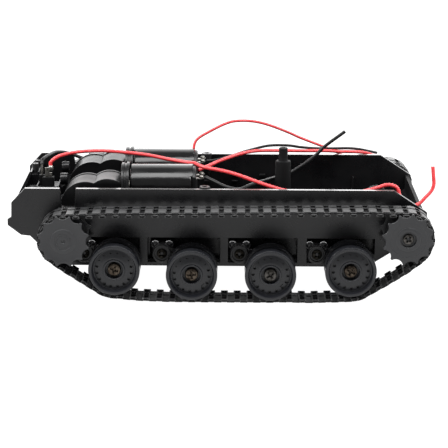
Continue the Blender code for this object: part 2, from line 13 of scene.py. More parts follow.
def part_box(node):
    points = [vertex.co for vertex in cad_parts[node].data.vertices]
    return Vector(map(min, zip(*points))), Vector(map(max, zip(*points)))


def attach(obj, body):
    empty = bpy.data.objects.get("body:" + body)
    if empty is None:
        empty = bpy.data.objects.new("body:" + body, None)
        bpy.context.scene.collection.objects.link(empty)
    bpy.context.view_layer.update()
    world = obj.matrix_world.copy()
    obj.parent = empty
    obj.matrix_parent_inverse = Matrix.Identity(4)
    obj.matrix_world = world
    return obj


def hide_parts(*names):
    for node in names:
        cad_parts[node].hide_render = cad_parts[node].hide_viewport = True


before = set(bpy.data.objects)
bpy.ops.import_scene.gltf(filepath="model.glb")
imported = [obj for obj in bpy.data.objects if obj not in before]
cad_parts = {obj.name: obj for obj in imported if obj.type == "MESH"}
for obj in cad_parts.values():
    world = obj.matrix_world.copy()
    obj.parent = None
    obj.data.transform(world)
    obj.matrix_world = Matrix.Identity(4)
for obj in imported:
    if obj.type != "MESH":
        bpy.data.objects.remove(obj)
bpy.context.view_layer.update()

MM = 0.001
SIDES = {-1: "right", 1: "left"}
TAU = 2 * math.pi


# -------------------------------- camera, lights and floor

CAMERA_PLACE = Vector((0.00413, -0.70408, 0.2162))      # metres
CAMERA_TURN = (-0.177, 15.563, 0.342)                   # yaw, tilt and roll in degrees
CAMERA_LENS, SENSOR_WIDTH = 132.23, 36.0
WHITE = (1.0, 1.0, 1.0, 1.0)


def shown(name, data):
    """A new object in the scene."""
    obj = bpy.data.objects.new(name, data)
    bpy.context.scene.collection.objects.link(obj)
    return obj


def set_inputs(node, values):
    for name, value in values.items():
        node.inputs[name].default_value = value


def make_camera():
    """The photograph's viewing angle: from the right-hand side, 15.6 degrees above."""
    yaw, tilt, roll = (math.radians(angle) for angle in CAMERA_TURN)
    forward = Vector((math.sin(yaw) * math.cos(tilt), math.cos(yaw) * math.cos(tilt), -math.sin(tilt)))
    level = Vector((math.cos(yaw), -math.sin(yaw), 0.0))
    above = level.cross(forward)
    right = level * math.cos(roll) + above * math.sin(roll)
    up = above * math.cos(roll) - level * math.sin(roll)
    data = bpy.data.cameras.new("camera")
    data.sensor_width, data.lens = SENSOR_WIDTH, CAMERA_LENS
    data.clip_start, data.clip_end = 0.01, 50.0
    camera = shown("camera", data)
    turned = Matrix((right, up, -forward)).transposed().to_4x4()
    camera.matrix_world = Matrix.Translation(CAMERA_PLACE) @ turned
    bpy.context.scene.camera = camera


def make_world():
    """A white studio, lit from behind: the side that the camera faces is far brighter than its own."""
    world = bpy.data.worlds.new("studio")
    world.use_nodes = True
    tree = world.node_tree
    shader = tree.nodes["Background"]
    coordinate = tree.nodes.new("ShaderNodeTexCoord")
    split = tree.nodes.new("ShaderNodeSeparateXYZ")
    ramp = tree.nodes.new("ShaderNodeMapRange")
    set_inputs(ramp, {"From Min": 0.5, "From Max": 0.97, "To Min": 0.36, "To Max": 3.4})
    set_inputs(shader, {"Color": WHITE})
    tree.links.new(coordinate.outputs["Generated"], split.inputs[0])
    tree.links.new(split.outputs["Y"], ramp.inputs["Value"])
    tree.links.new(ramp.outputs["Result"], shader.inputs["Strength"])
    bpy.context.scene.world = world


def area_light(name, place, target, size, power):
    data = bpy.data.lights.new(name, "AREA")
    data.shape = "RECTANGLE"
    data.size, data.size_y = size
    data.energy = power
    light = shown(name, data)
    light.location = place
    light.rotation_euler = (Vector(target) - Vector(place)).to_track_quat("-Z", "Y").to_euler()
    light.visible_camera = False


def make_floor():
    """A white floor that shines as brightly as the backdrop and takes a faint shadow."""
    bm = bmesh.new()
    bmesh.ops.create_grid(bm, x_segments=2, y_segments=2, size=6.0)
    mesh = bpy.data.meshes.new("studio_floor")
    bm.to_mesh(mesh)
    bm.free()
    floor = shown("studio_floor", mesh)
    floor.location.z = -0.0002
    mat, _, shader = new_material("floor_white", (0.18, 0.18, 0.18), 0.9)
    set_inputs(shader, {"Specular IOR Level": 0.0, "Emission Color": WHITE, "Emission Strength": 1.0})
    mesh.materials.append(mat)


def new_material(name, colour, roughness, metallic=0.0):
    mat = bpy.data.materials.new(name)
    mat.use_nodes = True
    shader = mat.node_tree.nodes["Principled BSDF"]
    set_inputs(shader, {"Base Color": (*colour, 1.0), "Roughness": roughness, "Metallic": metallic})
    return mat, mat.node_tree, shader


make_camera()
make_world()
make_floor()
area_light("top_softbox", (0.0, -0.22, 0.87), (0.0, 0.0, 0.0), (1.3, 0.34), 13.0)
area_light("left_softbox", (-0.62, -0.12, 0.55), (0.0, 0.0, 0.02), (0.26, 0.26), 5.0)
area_light("right_softbox", (0.62, -0.12, 0.55), (0.0, 0.0, 0.02), (0.26, 0.26), 3.6)
bpy.context.scene.view_settings.view_transform = "Standard"


# -------------------------------- materials

def noise(tree, per_metre, detail=3.0, stretch=(1.0, 1.0, 1.0)):
    """Noise in the object's own coordinates, so it rides with the piece."""
    coordinate = tree.nodes.new("ShaderNodeTexCoord")
    mapping = tree.nodes.new("ShaderNodeMapping")
    set_inputs(mapping, {"Scale": stretch})
    texture = tree.nodes.new("ShaderNodeTexNoise")
    set_inputs(texture, {"Scale": per_metre, "Detail": detail})
    tree.links.new(coordinate.outputs["Object"], mapping.inputs["Vector"])
    tree.links.new(mapping.outputs["Vector"], texture.inputs["Vector"])
    return texture.outputs["Fac"]


def ranged(tree, value, low, high, start=0.3, stop=0.7):
    """Spread the middle of a noise over a range."""
    node = tree.nodes.new("ShaderNodeMapRange")
    set_inputs(node, {"From Min": start, "From Max": stop, "To Min": low, "To Max": high})
    tree.links.new(value, node.inputs["Value"])
    return node.outputs["Result"]


def mixed_colour(tree, factor, first, second):
    node = tree.nodes.new("ShaderNodeMix")
    node.data_type = "RGBA"
    set_inputs(node, {"A": (*first, 1.0), "B": (*second, 1.0)})
    tree.links.new(factor, node.inputs["Factor"])
    return node.outputs["Result"]


def bumped(tree, shader, heights):
    """Chain bumps of (height socket, depth in millimetres)."""
    previous = None
    for height, depth in heights:
        node = tree.nodes.new("ShaderNodeBump")
        set_inputs(node, {"Distance": depth * MM})
        tree.links.new(height, node.inputs["Height"])
        if previous:
            tree.links.new(previous, node.inputs["Normal"])
        previous = node.outputs["Normal"]
    tree.links.new(previous, shader.inputs["Normal"])


def vary(tree, shader, factor, colour, other):
    """Colour that wanders between two values."""
    tree.links.new(mixed_colour(tree, factor, colour, other), shader.inputs["Base Color"])


def vary_roughness(tree, shader, value, low, high):
    tree.links.new(ranged(tree, value, low, high), shader.inputs["Roughness"])


def moulded_plastic(name, colour, roughness, spread=0.06, grain=0.012, per_metre=4200, dust=0.006, gloss=0.5):
    """Spark-eroded plastic: a fine grain, uneven sheen, and dust that greys it in patches."""
    mat, tree, shader = new_material(name, colour, roughness)
    set_inputs(shader, {"Specular IOR Level": gloss})
    grain_noise = noise(tree, per_metre, 4.0)
    sheen = noise(tree, 90.0, 4.0)
    flow = noise(tree, 28.0, 3.0, (0.35, 1.0, 1.0))
    vary(tree, shader, ranged(tree, sheen, 0.0, 1.0), colour, [c + dust for c in colour])
    vary_roughness(tree, shader, sheen, roughness - spread, roughness + spread)
    bumped(tree, shader, [(flow, 0.10), (grain_noise, grain)])
    return mat


def scuffed_metal(name, colour, dark, roughness):
    """Zinc plate worn by a driver: brown in the hollows, with fine scratches."""
    mat, tree, shader = new_material(name, colour, roughness, 1.0)
    blotches = noise(tree, 900.0, 5.0)
    scratches = noise(tree, 2600.0, 3.0, (1.0, 0.08, 0.25))
    vary(tree, shader, ranged(tree, blotches, 0.0, 1.0, 0.35, 0.62), dark, colour)
    vary_roughness(tree, shader, scratches, roughness - 0.1, roughness + 0.16)
    bumped(tree, shader, [(blotches, 0.04), (scratches, 0.012)])
    return mat


def insulation(name, colour, pale, roughness, gloss=0.5, coat=0.2):
    """Soft extruded PVC: faint lengthwise waviness and handling marks."""
    mat, tree, shader = new_material(name, colour, roughness)
    waves = noise(tree, 420.0, 2.0)
    marks = noise(tree, 2500.0, 4.0)
    vary(tree, shader, ranged(tree, waves, 0.0, 1.0), colour, pale)
    vary_roughness(tree, shader, marks, roughness - 0.07, roughness + 0.1)
    set_inputs(shader, {"Specular IOR Level": gloss, "Coat Weight": coat, "Coat Roughness": 0.25})
    bumped(tree, shader, [(waves, 0.05), (marks, 0.006)])
    return mat


def film_sleeve(name, colour, roughness):
    """Thin shrunk film: long soft wrinkles that break up the highlight."""
    mat, tree, shader = new_material(name, colour, roughness)
    wrinkles = noise(tree, 150.0, 4.0, (0.35, 1.0, 1.0))
    fine = noise(tree, 1500.0, 3.0, (0.3, 1.0, 1.0))
    vary_roughness(tree, shader, wrinkles, roughness - 0.08, roughness + 0.12)
    vary(tree, shader, ranged(tree, fine, 0.0, 1.0), colour, [c + 0.003 for c in colour])
    bumped(tree, shader, [(wrinkles, 0.12), (fine, 0.012)])
    set_inputs(shader, {"Specular IOR Level": 0.38})
    return mat


BLACK = moulded_plastic("black_plastic", (0.004, 0.004, 0.0046), 0.28, dust=0.004, gloss=0.29)
DULL = moulded_plastic("dull_black_plastic", (0.003, 0.003, 0.0034), 0.62, dust=0.002, gloss=0.14)
MATTE = moulded_plastic("matte_black_plastic", (0.003, 0.003, 0.0034), 0.9, dust=0.002, gloss=0.0)
# Painted highlight: a pale, glossy colour for the top faces of the side walls, standing in for the bright
# line of light along their top edges
PAINTED_HIGHLIGHT = moulded_plastic("painted_highlight_edge", (0.11, 0.105, 0.105), 0.12, grain=0.004, dust=0.004, gloss=1.0)
GLOSSY = moulded_plastic("polished_black_plastic", (0.004, 0.004, 0.0046), 0.20, dust=0.003, gloss=0.5)
GEARBOX = moulded_plastic("gearbox_plastic", (0.004, 0.004, 0.0044), 0.36, per_metre=3200, dust=0.003,
                          gloss=0.17)
BELL = moulded_plastic("end_bell_plastic", (0.005, 0.005, 0.0055), 0.40, dust=0.004, gloss=0.36)
WHEEL = moulded_plastic("wheel_plastic", (0.0058, 0.0063, 0.0084), 0.30, dust=0.005, gloss=0.36)
SPROCKET = moulded_plastic("sprocket_plastic", (0.012, 0.0124, 0.0140), 0.46, dust=0.006, gloss=0.45)
TRACK = moulded_plastic("track_rubber", (0.015, 0.015, 0.0158), 0.44, spread=0.09, grain=0.02,
                        per_metre=2600, dust=0.014, gloss=0.46)
# Painted shade: a darker, duller rubber for the pockets between the ribs, the split between the pad rows and
# the upper part of the belt's side faces
TRACK_SHADE = moulded_plastic("track_painted_shade", (0.004, 0.004, 0.0044), 0.7, grain=0.02, per_metre=2600, dust=0.003,
                         gloss=0.12)
SLEEVE = film_sleeve("motor_sleeve", (0.0025, 0.0025, 0.0028), 0.18)
NYLON = moulded_plastic("gear_plastic", (0.68, 0.67, 0.62), 0.45, dust=0.03)
STEEL = scuffed_metal("screw_steel", (0.078, 0.063, 0.049), (0.016, 0.012, 0.009), 0.34)
DARK_STEEL = scuffed_metal("dark_screw_steel", (0.085, 0.08, 0.075), (0.025, 0.023, 0.02), 0.40)
PIVOT_STEEL = scuffed_metal("pivot_screw_steel", (0.032, 0.029, 0.024), (0.012, 0.011, 0.009), 0.42)
TINNED = scuffed_metal("plated_lug", (0.32, 0.31, 0.29), (0.13, 0.125, 0.11), 0.36)
RED = insulation("red_insulation", (0.60, 0.028, 0.035), (0.70, 0.05, 0.055), 0.38)
DARK = insulation("black_insulation", (0.005, 0.005, 0.0055), (0.009, 0.009, 0.0095), 0.42, gloss=0.25,
                  coat=0.03)


# -------------------------------- mesh helpers

def direction(angle):
    return Vector((math.cos(angle), math.sin(angle)))


def across(vector):
    """The vector turned by a quarter turn."""
    return Vector((-vector.y, vector.x))


def skin(bm, rings, closed=False):
    """Join equal rings of points one after another: capped at both ends, or closed into a loop."""
    rows = [[bm.verts.new(point) for point in ring] for ring in rings]
    count = len(rows[0])
    pairs = list(zip(rows, rows[1:]))
    if closed:
        pairs.append((rows[-1], rows[0]))
    else:
        bm.faces.new(rows[0])
        bm.faces.new(rows[-1])
    for low, high in pairs:
        for i in range(count):
            j = (i + 1) % count
            bm.faces.new((low[i], low[j], high[j], high[i]))
    return bm


def prism(bm, outline, y_low, y_high):
    """Extrude an outline in the X-Z plane from one Y to another."""
    return skin(bm, [[(x, y, z) for x, z in outline] for y in (y_low, y_high)])


def side_prism(bm, outline, side, y_low, y_high):
    return prism(bm, outline, side * y_low, side * y_high)


def block(bm, low, high):
    corners = [(low[0], low[2]), (high[0], low[2]), (high[0], high[2]), (low[0], high[2])]
    return prism(bm, corners, low[1], high[1])


def side_block(bm, side, x, y, z):
    """A block between two distances from the centre plane, on one side of it."""
    low, high = sorted((side * y[0], side * y[1]))
    return block(bm, (x[0], low, z[0]), (x[1], high, z[1]))


def circle(cx, cz, radius, count):
    return [(cx + radius * math.cos(TAU * i / count), cz + radius * math.sin(TAU * i / count))
            for i in range(count)]


def arc(cx, cz, radius, start, stop, count):
    """Points along an arc, angles in degrees."""
    angles = [math.radians(start + (stop - start) * i / count) for i in range(count + 1)]
    return [(cx + radius * math.cos(a), cz + radius * math.sin(a)) for a in angles]


def turn_x(bm, profile, centre, count):
    """Turn a profile of (X, radius) about an axis along X at (Y, Z)."""
    return skin(bm, [[(x, y, z) for y, z in circle(*centre, radius, count)] for x, radius in profile])


def turn_y(bm, profile, centre, side, count, closed=False):
    """Turn a profile of (radius, distance from the centre plane) about an axle along Y."""
    return skin(bm, [[(x, side * y, z) for x, z in circle(*centre, radius, count)]
                     for radius, y in profile], closed)


def turn_z(bm, profile, centre, count):
    """Turn a profile of (radius, Z) about an upright axis at (X, Y)."""
    return skin(bm, [[(x, y, z) for x, y in circle(*centre, radius, count)] for radius, z in profile])


def finished(name, bm):
    """An object in metres from a bmesh in millimetres."""
    bmesh.ops.recalc_face_normals(bm, faces=bm.faces)
    bmesh.ops.scale(bm, vec=(MM, MM, MM), verts=bm.verts)
    mesh = bpy.data.meshes.new(name)
    bm.to_mesh(mesh)
    bm.free()
    return shown(name, mesh)


def assign(obj, body, replaces):
    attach(obj, body)
    if replaces:
        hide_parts(*replaces)
    return obj


def piece(name, bm, mat=BLACK, slot="black_plastic", body="root", bevel=0.0, segments=2, smooth=35,
          replaces=()):
    """A shown piece, with soft edges if it is bevelled and sharp ones if not."""
    obj = finished(name, bm)
    mesh = obj.data
    mesh.materials.append(mat)
    mesh.shade_smooth()
    if bevel:
        modifier = obj.modifiers.new("soft_edges", "BEVEL")
        modifier.width = bevel * MM
        modifier.segments = segments
        modifier.limit_method = "ANGLE"
        modifier.angle_limit = math.radians(smooth)
        modifier.harden_normals = True
    else:
        mesh.set_sharp_from_angle(angle=math.radians(smooth))
    return assign(obj, body, replaces)


def stand_in(node, part, bm, *look, **more):
    """A piece that stands for a solid and is named after it."""
    return piece(f"{node}_{part}", bm, *look, replaces=[node], **more)


def boolean(obj, bm, operation="DIFFERENCE"):
    """Cut or join with a shape in millimetres, and leave the bevel for later."""
    tool = finished("tool", bm)
    bevels = list(obj.modifiers)
    for other in bevels:
        other.show_viewport = False
    modifier = obj.modifiers.new("cut", "BOOLEAN")
    modifier.operation, modifier.object, modifier.solver = operation, tool, "EXACT"
    bpy.context.view_layer.update()
    made = bpy.data.meshes.new_from_object(obj.evaluated_get(bpy.context.evaluated_depsgraph_get()))
    obj.modifiers.remove(modifier)
    for other in bevels:
        other.show_viewport = True
    obj.data = made
    bpy.data.objects.remove(tool)


# -------------------------------- the belt's path

SPROCKET_TEETH = 12
LINKS = 66
LINK_PITCH = 5.44
PITCH_R = SPROCKET_TEETH * LINK_PITCH / TAU
WHEEL_R = 10.7
RIDING_R = WHEEL_R + 0.9           # belt pitch line round a road wheel
ARM_PIVOT_Z = 17.35
ARM_PIVOTS = [-56.9 + 32.77 * k for k in range(4)]


def axle(node):
    """Where the axle of a round node is, as X and Z in millimetres: the middle of its box."""
    low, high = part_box(node)
    place = (low + high) / 2 / MM
    return Vector((place.x, place.z))


DRIVE = axle("drive_sprocket_right")
IDLER = axle("idler_screw_right")
AXLES = [axle(f"wheel_screw_right_{k + 1}") for k in range(4)]


def belt_pieces(circles):
    """Straight and curved pieces of a belt pulled round circles given anticlockwise as (x, z, r)."""
    normals = []
    for (x0, z0, r0), (x1, z1, r1) in zip(circles, circles[1:] + circles[:1]):
        along = Vector((x1 - x0, z1 - z0))
        lean = (r0 - r1) / along.length
        along.normalize()
        normals.append(along * lean + Vector((along.y, -along.x)) * math.sqrt(1 - lean * lean))
    pieces = []
    for i, (x, z, r) in enumerate(circles):
        start, stop = normals[i - 1], normals[i]
        first = math.atan2(start.y, start.x)
        sweep = (math.atan2(stop.y, stop.x) - first) % TAU
        pieces.append(("arc", x, z, r, first, sweep, r * sweep))
        x1, z1, r1 = circles[(i + 1) % len(circles)]
        begin, end = Vector((x, z)) + stop * r, Vector((x1, z1)) + stop * r1
        pieces.append(("line", begin, end, stop, (end - begin).length))
    return pieces


BELT = belt_pieces([(*DRIVE, PITCH_R), *[(*place, RIDING_R) for place in AXLES], (*IDLER, PITCH_R)])
BELT_LENGTH = sum(part[-1] for part in BELT)
BELT_TOP = PITCH_R * ((math.pi / 2 - BELT[0][4]) % TAU)      # distance to the top of the drive sprocket


# How far the belt hangs out from the tight path, as (x, distance), along its upper and its lower half
UPPER_SLACK = ((-64.0, 0.0), (-45.0, 0.45), (60.0, 0.45), (79.0, 0.0))
LOWER_SLACK = ((-74.0, 0.0), (-64.0, 0.55), (-44.0, 0.5), (-33.0, 0.8), (-23.0, 0.55), (-10.0, 0.0),
               (24.0, 0.0), (41.0, 0.95), (51.0, 1.15), (61.0, 1.15), (71.0, 1.55), (77.0, 1.6), (82.0, 1.2),
               (89.5, 0.0))
LOWEST = min(place.y for place in AXLES) - RIDING_R


def slack(x, table):
    """Read a table of (x, distance) with a smooth step between its rows."""
    for (x0, d0), (x1, d1) in zip(table, table[1:]):
        if x0 <= x < x1:
            t = (x - x0) / (x1 - x0)
            return d0 + (d1 - d0) * t * t * (3.0 - 2.0 * t)
    return 0.0


def belt_point(distance):
    """Point and outward normal at a distance along the slack belt from the top of the drive sprocket."""
    point, normal = tight_point(distance)
    point = point + normal * slack(point.x, UPPER_SLACK if normal.y > 0.0 else LOWER_SLACK)
    point.y = max(point.y, LOWEST)
    return point, normal


def tight_point(distance):
    """Point and outward normal at a distance along the tight path."""
    distance = (distance + BELT_TOP) % BELT_LENGTH
    for part in BELT:
        if distance <= part[-1] or part is BELT[-1]:
            break
        distance -= part[-1]
    if part[0] == "arc":
        _, x, z, r, first, _, _ = part
        normal = direction(first + distance / r)
        return Vector((x, z)) + normal * r, normal
    _, begin, end, normal, length = part
    return begin.lerp(end, distance / length), normal


def idler_phase():
    """Angle round the idler of one cross lug."""
    before = BELT_LENGTH - BELT[-1][-1] - BELT[-2][-1]
    pitch = BELT_LENGTH / LINKS
    link = math.ceil((before - BELT_TOP) / pitch)
    return BELT[-2][4] + (BELT_TOP + link * pitch - before) / PITCH_R


# -------------------------------- tracks

# Grid lines of one link: along it from the cross lug, across the belt, and outwards from the pitch line
TRACK_S = (-LINK_PITCH / 2, -1.5, -1.2, -0.95, 0.0, 0.95, 1.2, 1.5)
TRACK_Y = (38.6, 39.3, 42.5, 42.95, 43.65, 44.1, 47.1, 47.7, 50.3, 50.8)
TRACK_H = (-0.8, -0.55, -0.3, -0.15, 0.05, 0.3, 0.55, 0.85)
FAR_PAD, SPLIT, NEAR_PAD, RIDGE = (39.3, 42.5), (42.95, 43.65), (44.1, 50.3), (47.1, 47.7)
POCKET_HALF = 0.95
# The six sides of a box: the step to the neighbour, and the corners towards it
BOX_SIDES = (((1, 0, 0), ((1, 0, 0), (1, 1, 0), (1, 1, 1), (1, 0, 1))),
             ((-1, 0, 0), ((0, 0, 0), (0, 0, 1), (0, 1, 1), (0, 1, 0))),
             ((0, 1, 0), ((0, 1, 0), (0, 1, 1), (1, 1, 1), (1, 1, 0))),
             ((0, -1, 0), ((0, 0, 0), (1, 0, 0), (1, 0, 1), (0, 0, 1))),
             ((0, 0, 1), ((0, 0, 1), (1, 0, 1), (1, 1, 1), (0, 1, 1))),
             ((0, 0, -1), ((0, 0, 0), (0, 1, 0), (1, 1, 0), (1, 0, 0))))


def within(value, limits):
    return limits[0] < value < limits[1]


def on_pad(y):
    return within(y, FAR_PAD) or within(y, NEAR_PAD)


def track_filled(s, y, h):
    """Whether rubber fills a place on a link: s from its cross lug, y across, h above the pitch line."""
    s = abs(s)
    if s < POCKET_HALF:
        if on_pad(y):
            return h < -0.15 and (h > -0.3 or within(y, RIDGE))
        return h < (0.3 if within(y, SPLIT) else 0.55)
    if s > 1.5:
        return h > 0.05 and (on_pad(y) or h < 0.55) and not within(y, SPLIT)
    if h > 0.55:
        return on_pad(y) and s > 1.2
    return h < 0.3 or not within(y, SPLIT)


def make_track(side, word):
    """A moulded belt of filled boxes: two rows of pads, each link with pockets between raised ribs."""
    pitch = BELT_LENGTH / LINKS
    stations = [link * pitch + s * pitch / LINK_PITCH for link in range(LINKS) for s in TRACK_S]
    frames = [belt_point(distance) for distance in stations]
    s_mid = [(a + b) / 2 for a, b in zip(TRACK_S, TRACK_S[1:] + (LINK_PITCH / 2,))]
    y_mid = [(a + b) / 2 for a, b in zip(TRACK_Y, TRACK_Y[1:])]
    h_mid = [(a + b) / 2 for a, b in zip(TRACK_H, TRACK_H[1:])]
    full = {(i, j, k) for i, s in enumerate(s_mid) for j, y in enumerate(y_mid) for k, h in enumerate(h_mid)
            if track_filled(s, y, h)}
    bm = bmesh.new()
    made = {}

    def corner(i, j, k):
        key = (i % len(frames), j, k)
        if key not in made:
            point, normal = frames[key[0]]
            place = point + normal * TRACK_H[k]
            made[key] = bm.verts.new((place.x, side * TRACK_Y[j], place.y))
        return made[key]

    count = len(TRACK_S)
    pockets = [i for i, s in enumerate(s_mid) if abs(s) < POCKET_HALF]
    pad_columns = [j for j, y in enumerate(y_mid) if on_pad(y)]
    for link in range(LINKS):
        for i, j, k in full:
            for (di, dj, dk), corners in BOX_SIDES:
                if ((i + di) % count, j + dj, k + dk) in full:
                    continue
                face = bm.faces.new([corner(link * count + i + a, j + b, k + c) for a, b, c in corners])
                # Faces of the pockets, the split and the upper side faces take the second material, painted
                # shade
                pocket = (i + di) % count in pockets and (j + dj) in pad_columns
                edge = dj and h_mid[k] > -0.15
                if pocket or edge or within(y_mid[j], SPLIT):
                    face.material_index = 1
    belt = stand_in(f"track_{word}", "belt", bm, TRACK, "track_rubber", bevel=0.1)
    belt.data.materials.append(TRACK_SHADE)


def make_lug_ends(side, word):
    """The open, arched end of each cross lug, which stands over a valley of the sprocket."""
    arch = [(-1.2, -0.88), (-1.5, -0.62), (-1.5, -0.34), (-1.25, -0.02), (-0.8, 0.14),
            (0.8, 0.14), (1.25, -0.02), (1.5, -0.34), (1.5, -0.62), (1.2, -0.88)]
    mouth = [(s * 0.66, h - 0.34 if h > 0 else h + 0.12) for s, h in arch]
    pitch = BELT_LENGTH / LINKS
    bm = bmesh.new()
    for link in range(LINKS):
        point, normal = belt_point(link * pitch)

        def ring(shape, y):
            places = [point + across(normal) * s + normal * h for s, h in shape]
            return [(p.x, side * y, p.y) for p in places]

        skin(bm, [ring(arch, 50.6), ring(arch, 52.0), ring(mouth, 52.0), ring(mouth, 50.9)])
    piece(f"track_{word}_lug_ends", bm, TRACK, "track_rubber", bevel=0.1)


# -------------------------------- sprockets

SCALLOP_CENTRE, SCALLOP_R, SCALLOP_HALF, SCALLOP_STEPS = 12.55, 3.15, math.radians(54.05), 6
DRUM_R = 8.8
DOTS, DOT_RING_R, DOT_R = 8, 2.95, 0.28


def scalloped(centre, phase):
    """Outline of a flange with a round valley for each cross lug."""
    outline = []
    for k in range(SPROCKET_TEETH):
        out = direction(phase + k * TAU / SPROCKET_TEETH)
        for i in range(SCALLOP_STEPS + 1):
            turn = SCALLOP_HALF * (2 * i / SCALLOP_STEPS - 1)
            outline.append(centre + out * (SCALLOP_CENTRE - SCALLOP_R * math.cos(turn))
                           + across(out) * SCALLOP_R * math.sin(turn))
    return outline


def make_sprocket(name, centre, side, phase, body, face_profile):
    """Two scalloped flanges on a drum, with a turned face given as (radius, |Y|) from the rim inwards."""
    outline = scalloped(centre, phase)
    angles = [math.atan2(p.y - centre.y, p.x - centre.x) for p in outline]

    def flange(y, grow=0.0):
        return [(p.x + grow * math.cos(a), side * y, p.y + grow * math.sin(a))
                for p, a in zip(outline, angles)]

    def round_ring(radius, y):
        return [(centre.x + radius * math.cos(a), side * y, centre.y + radius * math.sin(a)) for a in angles]

    rings = [round_ring(2.2, 37.6), flange(37.6), flange(38.3), round_ring(DRUM_R, 38.3),
             round_ring(DRUM_R, 51.3), flange(51.3), flange(52.0), flange(52.2, -0.2)]
    rings += [round_ring(radius, y) for radius, y in face_profile]
    stand_in(name, "wheel", skin(bmesh.new(), rings), SPROCKET, "wheel_plastic", body, bevel=0.12, smooth=30)


def make_drive_dots(side, word):
    """A ring of small ejector dots round the middle of the drive sprocket's face."""
    bm = bmesh.new()
    for k in range(DOTS):
        place = DRIVE + DOT_RING_R * direction(TAU * (k + 0.5) / DOTS)
        turn_y(bm, [(DOT_R, 52.02), (DOT_R, 52.32), (DOT_R * 0.7, 52.46)], place, side, 14)
    piece(f"drive_sprocket_{word}_dots", bm, SPROCKET, "wheel_plastic", f"drive_{word}", bevel=0.05)


def make_sprockets(side, word):
    drive_face = [(8.7, 52.2), (8.5, 52.12), (5.35, 52.12), (5.15, 52.3), (4.6, 52.42), (3.75, 52.42),
                  (3.55, 52.25), (2.3, 52.22), (2.1, 52.34), (0.8, 52.34), (0.6, 52.0)]
    make_sprocket(f"drive_sprocket_{word}", DRIVE, side, math.pi / 2, f"drive_{word}", drive_face)
    make_drive_dots(side, word)
    idler_face = [(8.7, 52.2), (7.6, 52.2), (7.45, 52.1), (5.2, 52.05), (5.0, 52.2), (4.3, 52.3),
                  (3.45, 52.3), (3.35, 52.2), (3.35, 50.9), (2.2, 50.9)]
    make_sprocket(f"idler_sprocket_{word}", IDLER, side, idler_phase(), f"idler_{word}", idler_face)


# -------------------------------- road wheels, screws and arms

HUB_PROFILE = [(2.3, 49.6), (3.7, 49.6), (3.7, 52.2), (3.85, 52.42), (4.25, 52.42), (4.45, 52.3)]
DISH_PROFILE = [(4.62, 51.75), (4.85, 51.75), (5.6, 51.62), (8.4, 50.85), (8.7, 50.95), (8.95, 51.3),
                (9.2, 52.4)]
LIP_PROFILE = [(9.35, 52.85), (9.6, 53.0), (10.2, 53.0), (10.5, 52.85), (10.66, 52.6), (WHEEL_R, 52.3)]
GROOVE_PROFILE = [(WHEEL_R, 48.7), (10.5, 48.45), (7.9, 48.2), (7.6, 47.9), (7.6, 44.6), (7.9, 44.3),
                  (10.5, 44.05), (WHEEL_R, 43.8)]
BACK_PROFILE = [(WHEEL_R, 39.85), (10.5, 39.5), (2.3, 39.5)]
MARKS, MARK_RING_R = 16, 7.35
SCREW_WHEEL_R, SCREW_PIVOT_R, SCREW_IDLER_R = 2.75, 2.2, 2.3


def make_wheel(side, word, k):
    """A double wheel with a dished face, a raised hub ring and a ring of shallow moulding marks."""
    name, centre = f"wheel_{word}_{k + 1}", AXLES[k]
    profile = HUB_PROFILE + DISH_PROFILE + LIP_PROFILE + GROOVE_PROFILE + BACK_PROFILE
    bm = turn_y(bmesh.new(), profile, centre, side, 96, closed=True)
    wheel = stand_in(f"road_{name}", "tyre", bm, WHEEL, "wheel_plastic", name, smooth=24)
    marks = bmesh.new()
    for i in range(MARKS):
        angle = TAU * (i + 0.5 + 0.21 * k) / MARKS
        size = 0.5 if math.sin(angle) > 0.45 else 1.0
        mark = [(0.6 * size, 51.1 - 1.1 * size), (0.6 * size, 51.1), (0.85 * size, 51.5)]
        turn_y(marks, mark, centre + MARK_RING_R * direction(angle), side, 10)
    boolean(wheel, marks)
    if k in (1, 2):      # the two middle wheels have a small slot in the dish
        out = direction(math.radians(-43))
        slot = [centre + out * 6.1 + across(out) * w for w in (-0.9, 0.9)]
        slot += [p + out * 0.4 for p in reversed(slot)]
        boolean(wheel, side_prism(bmesh.new(), slot, side, 50.8, 52.0))
    wheel.data.set_sharp_from_angle(angle=math.radians(24))


def cross_screw(name, mat, head_r, depth):
    """Pan head with a cross recess, its face on Y = 0 looking along -Y."""
    profile = [(0.1, 0.0), (head_r * 0.45, 0.02), (head_r * 0.72, 0.1), (head_r * 0.9, 0.28),
               (head_r, 0.62), (head_r, depth)]
    bm = turn_y(bmesh.new(), profile, (0.0, 0.0), 1, 40)
    screw = piece(name, bm, mat, "screw_steel")
    for turn in (0.0, math.pi / 2):
        out = direction(turn)
        rings = []
        for y, length, width in ((-0.4, head_r * 0.76, 0.48), (0.6, head_r * 0.55, 0.40), (1.2, 0.48, 0.32)):
            end, edge = out * length, across(out) * width
            corners = [end + edge, edge - end, -end - edge, end - edge]
            rings.append([(p.x, y, p.y) for p in corners])
        boolean(screw, skin(bmesh.new(), rings))
    pit = turn_y(bmesh.new(), [(0.85, -0.4), (0.7, 0.6), (0.1, 1.35)], (0.0, 0.0), 1, 16)
    boolean(screw, pit)
    screw.data.set_sharp_from_angle(angle=math.radians(28))
    return screw


def place_screw(pattern, name, centre, side, face, turn, body, replaces=()):
    """Copy the pattern screw so that its face is at a distance from the centre plane."""
    spin = Matrix.Rotation(turn, 4, "Y")
    flip = Matrix.Rotation(math.pi if side > 0 else 0.0, 4, "Z")
    screw = shown(name, pattern.data.copy())
    screw.data.transform(Matrix.Translation(Vector((centre[0], side * face, centre[1])) * MM) @ flip @ spin)
    assign(screw, body, replaces)


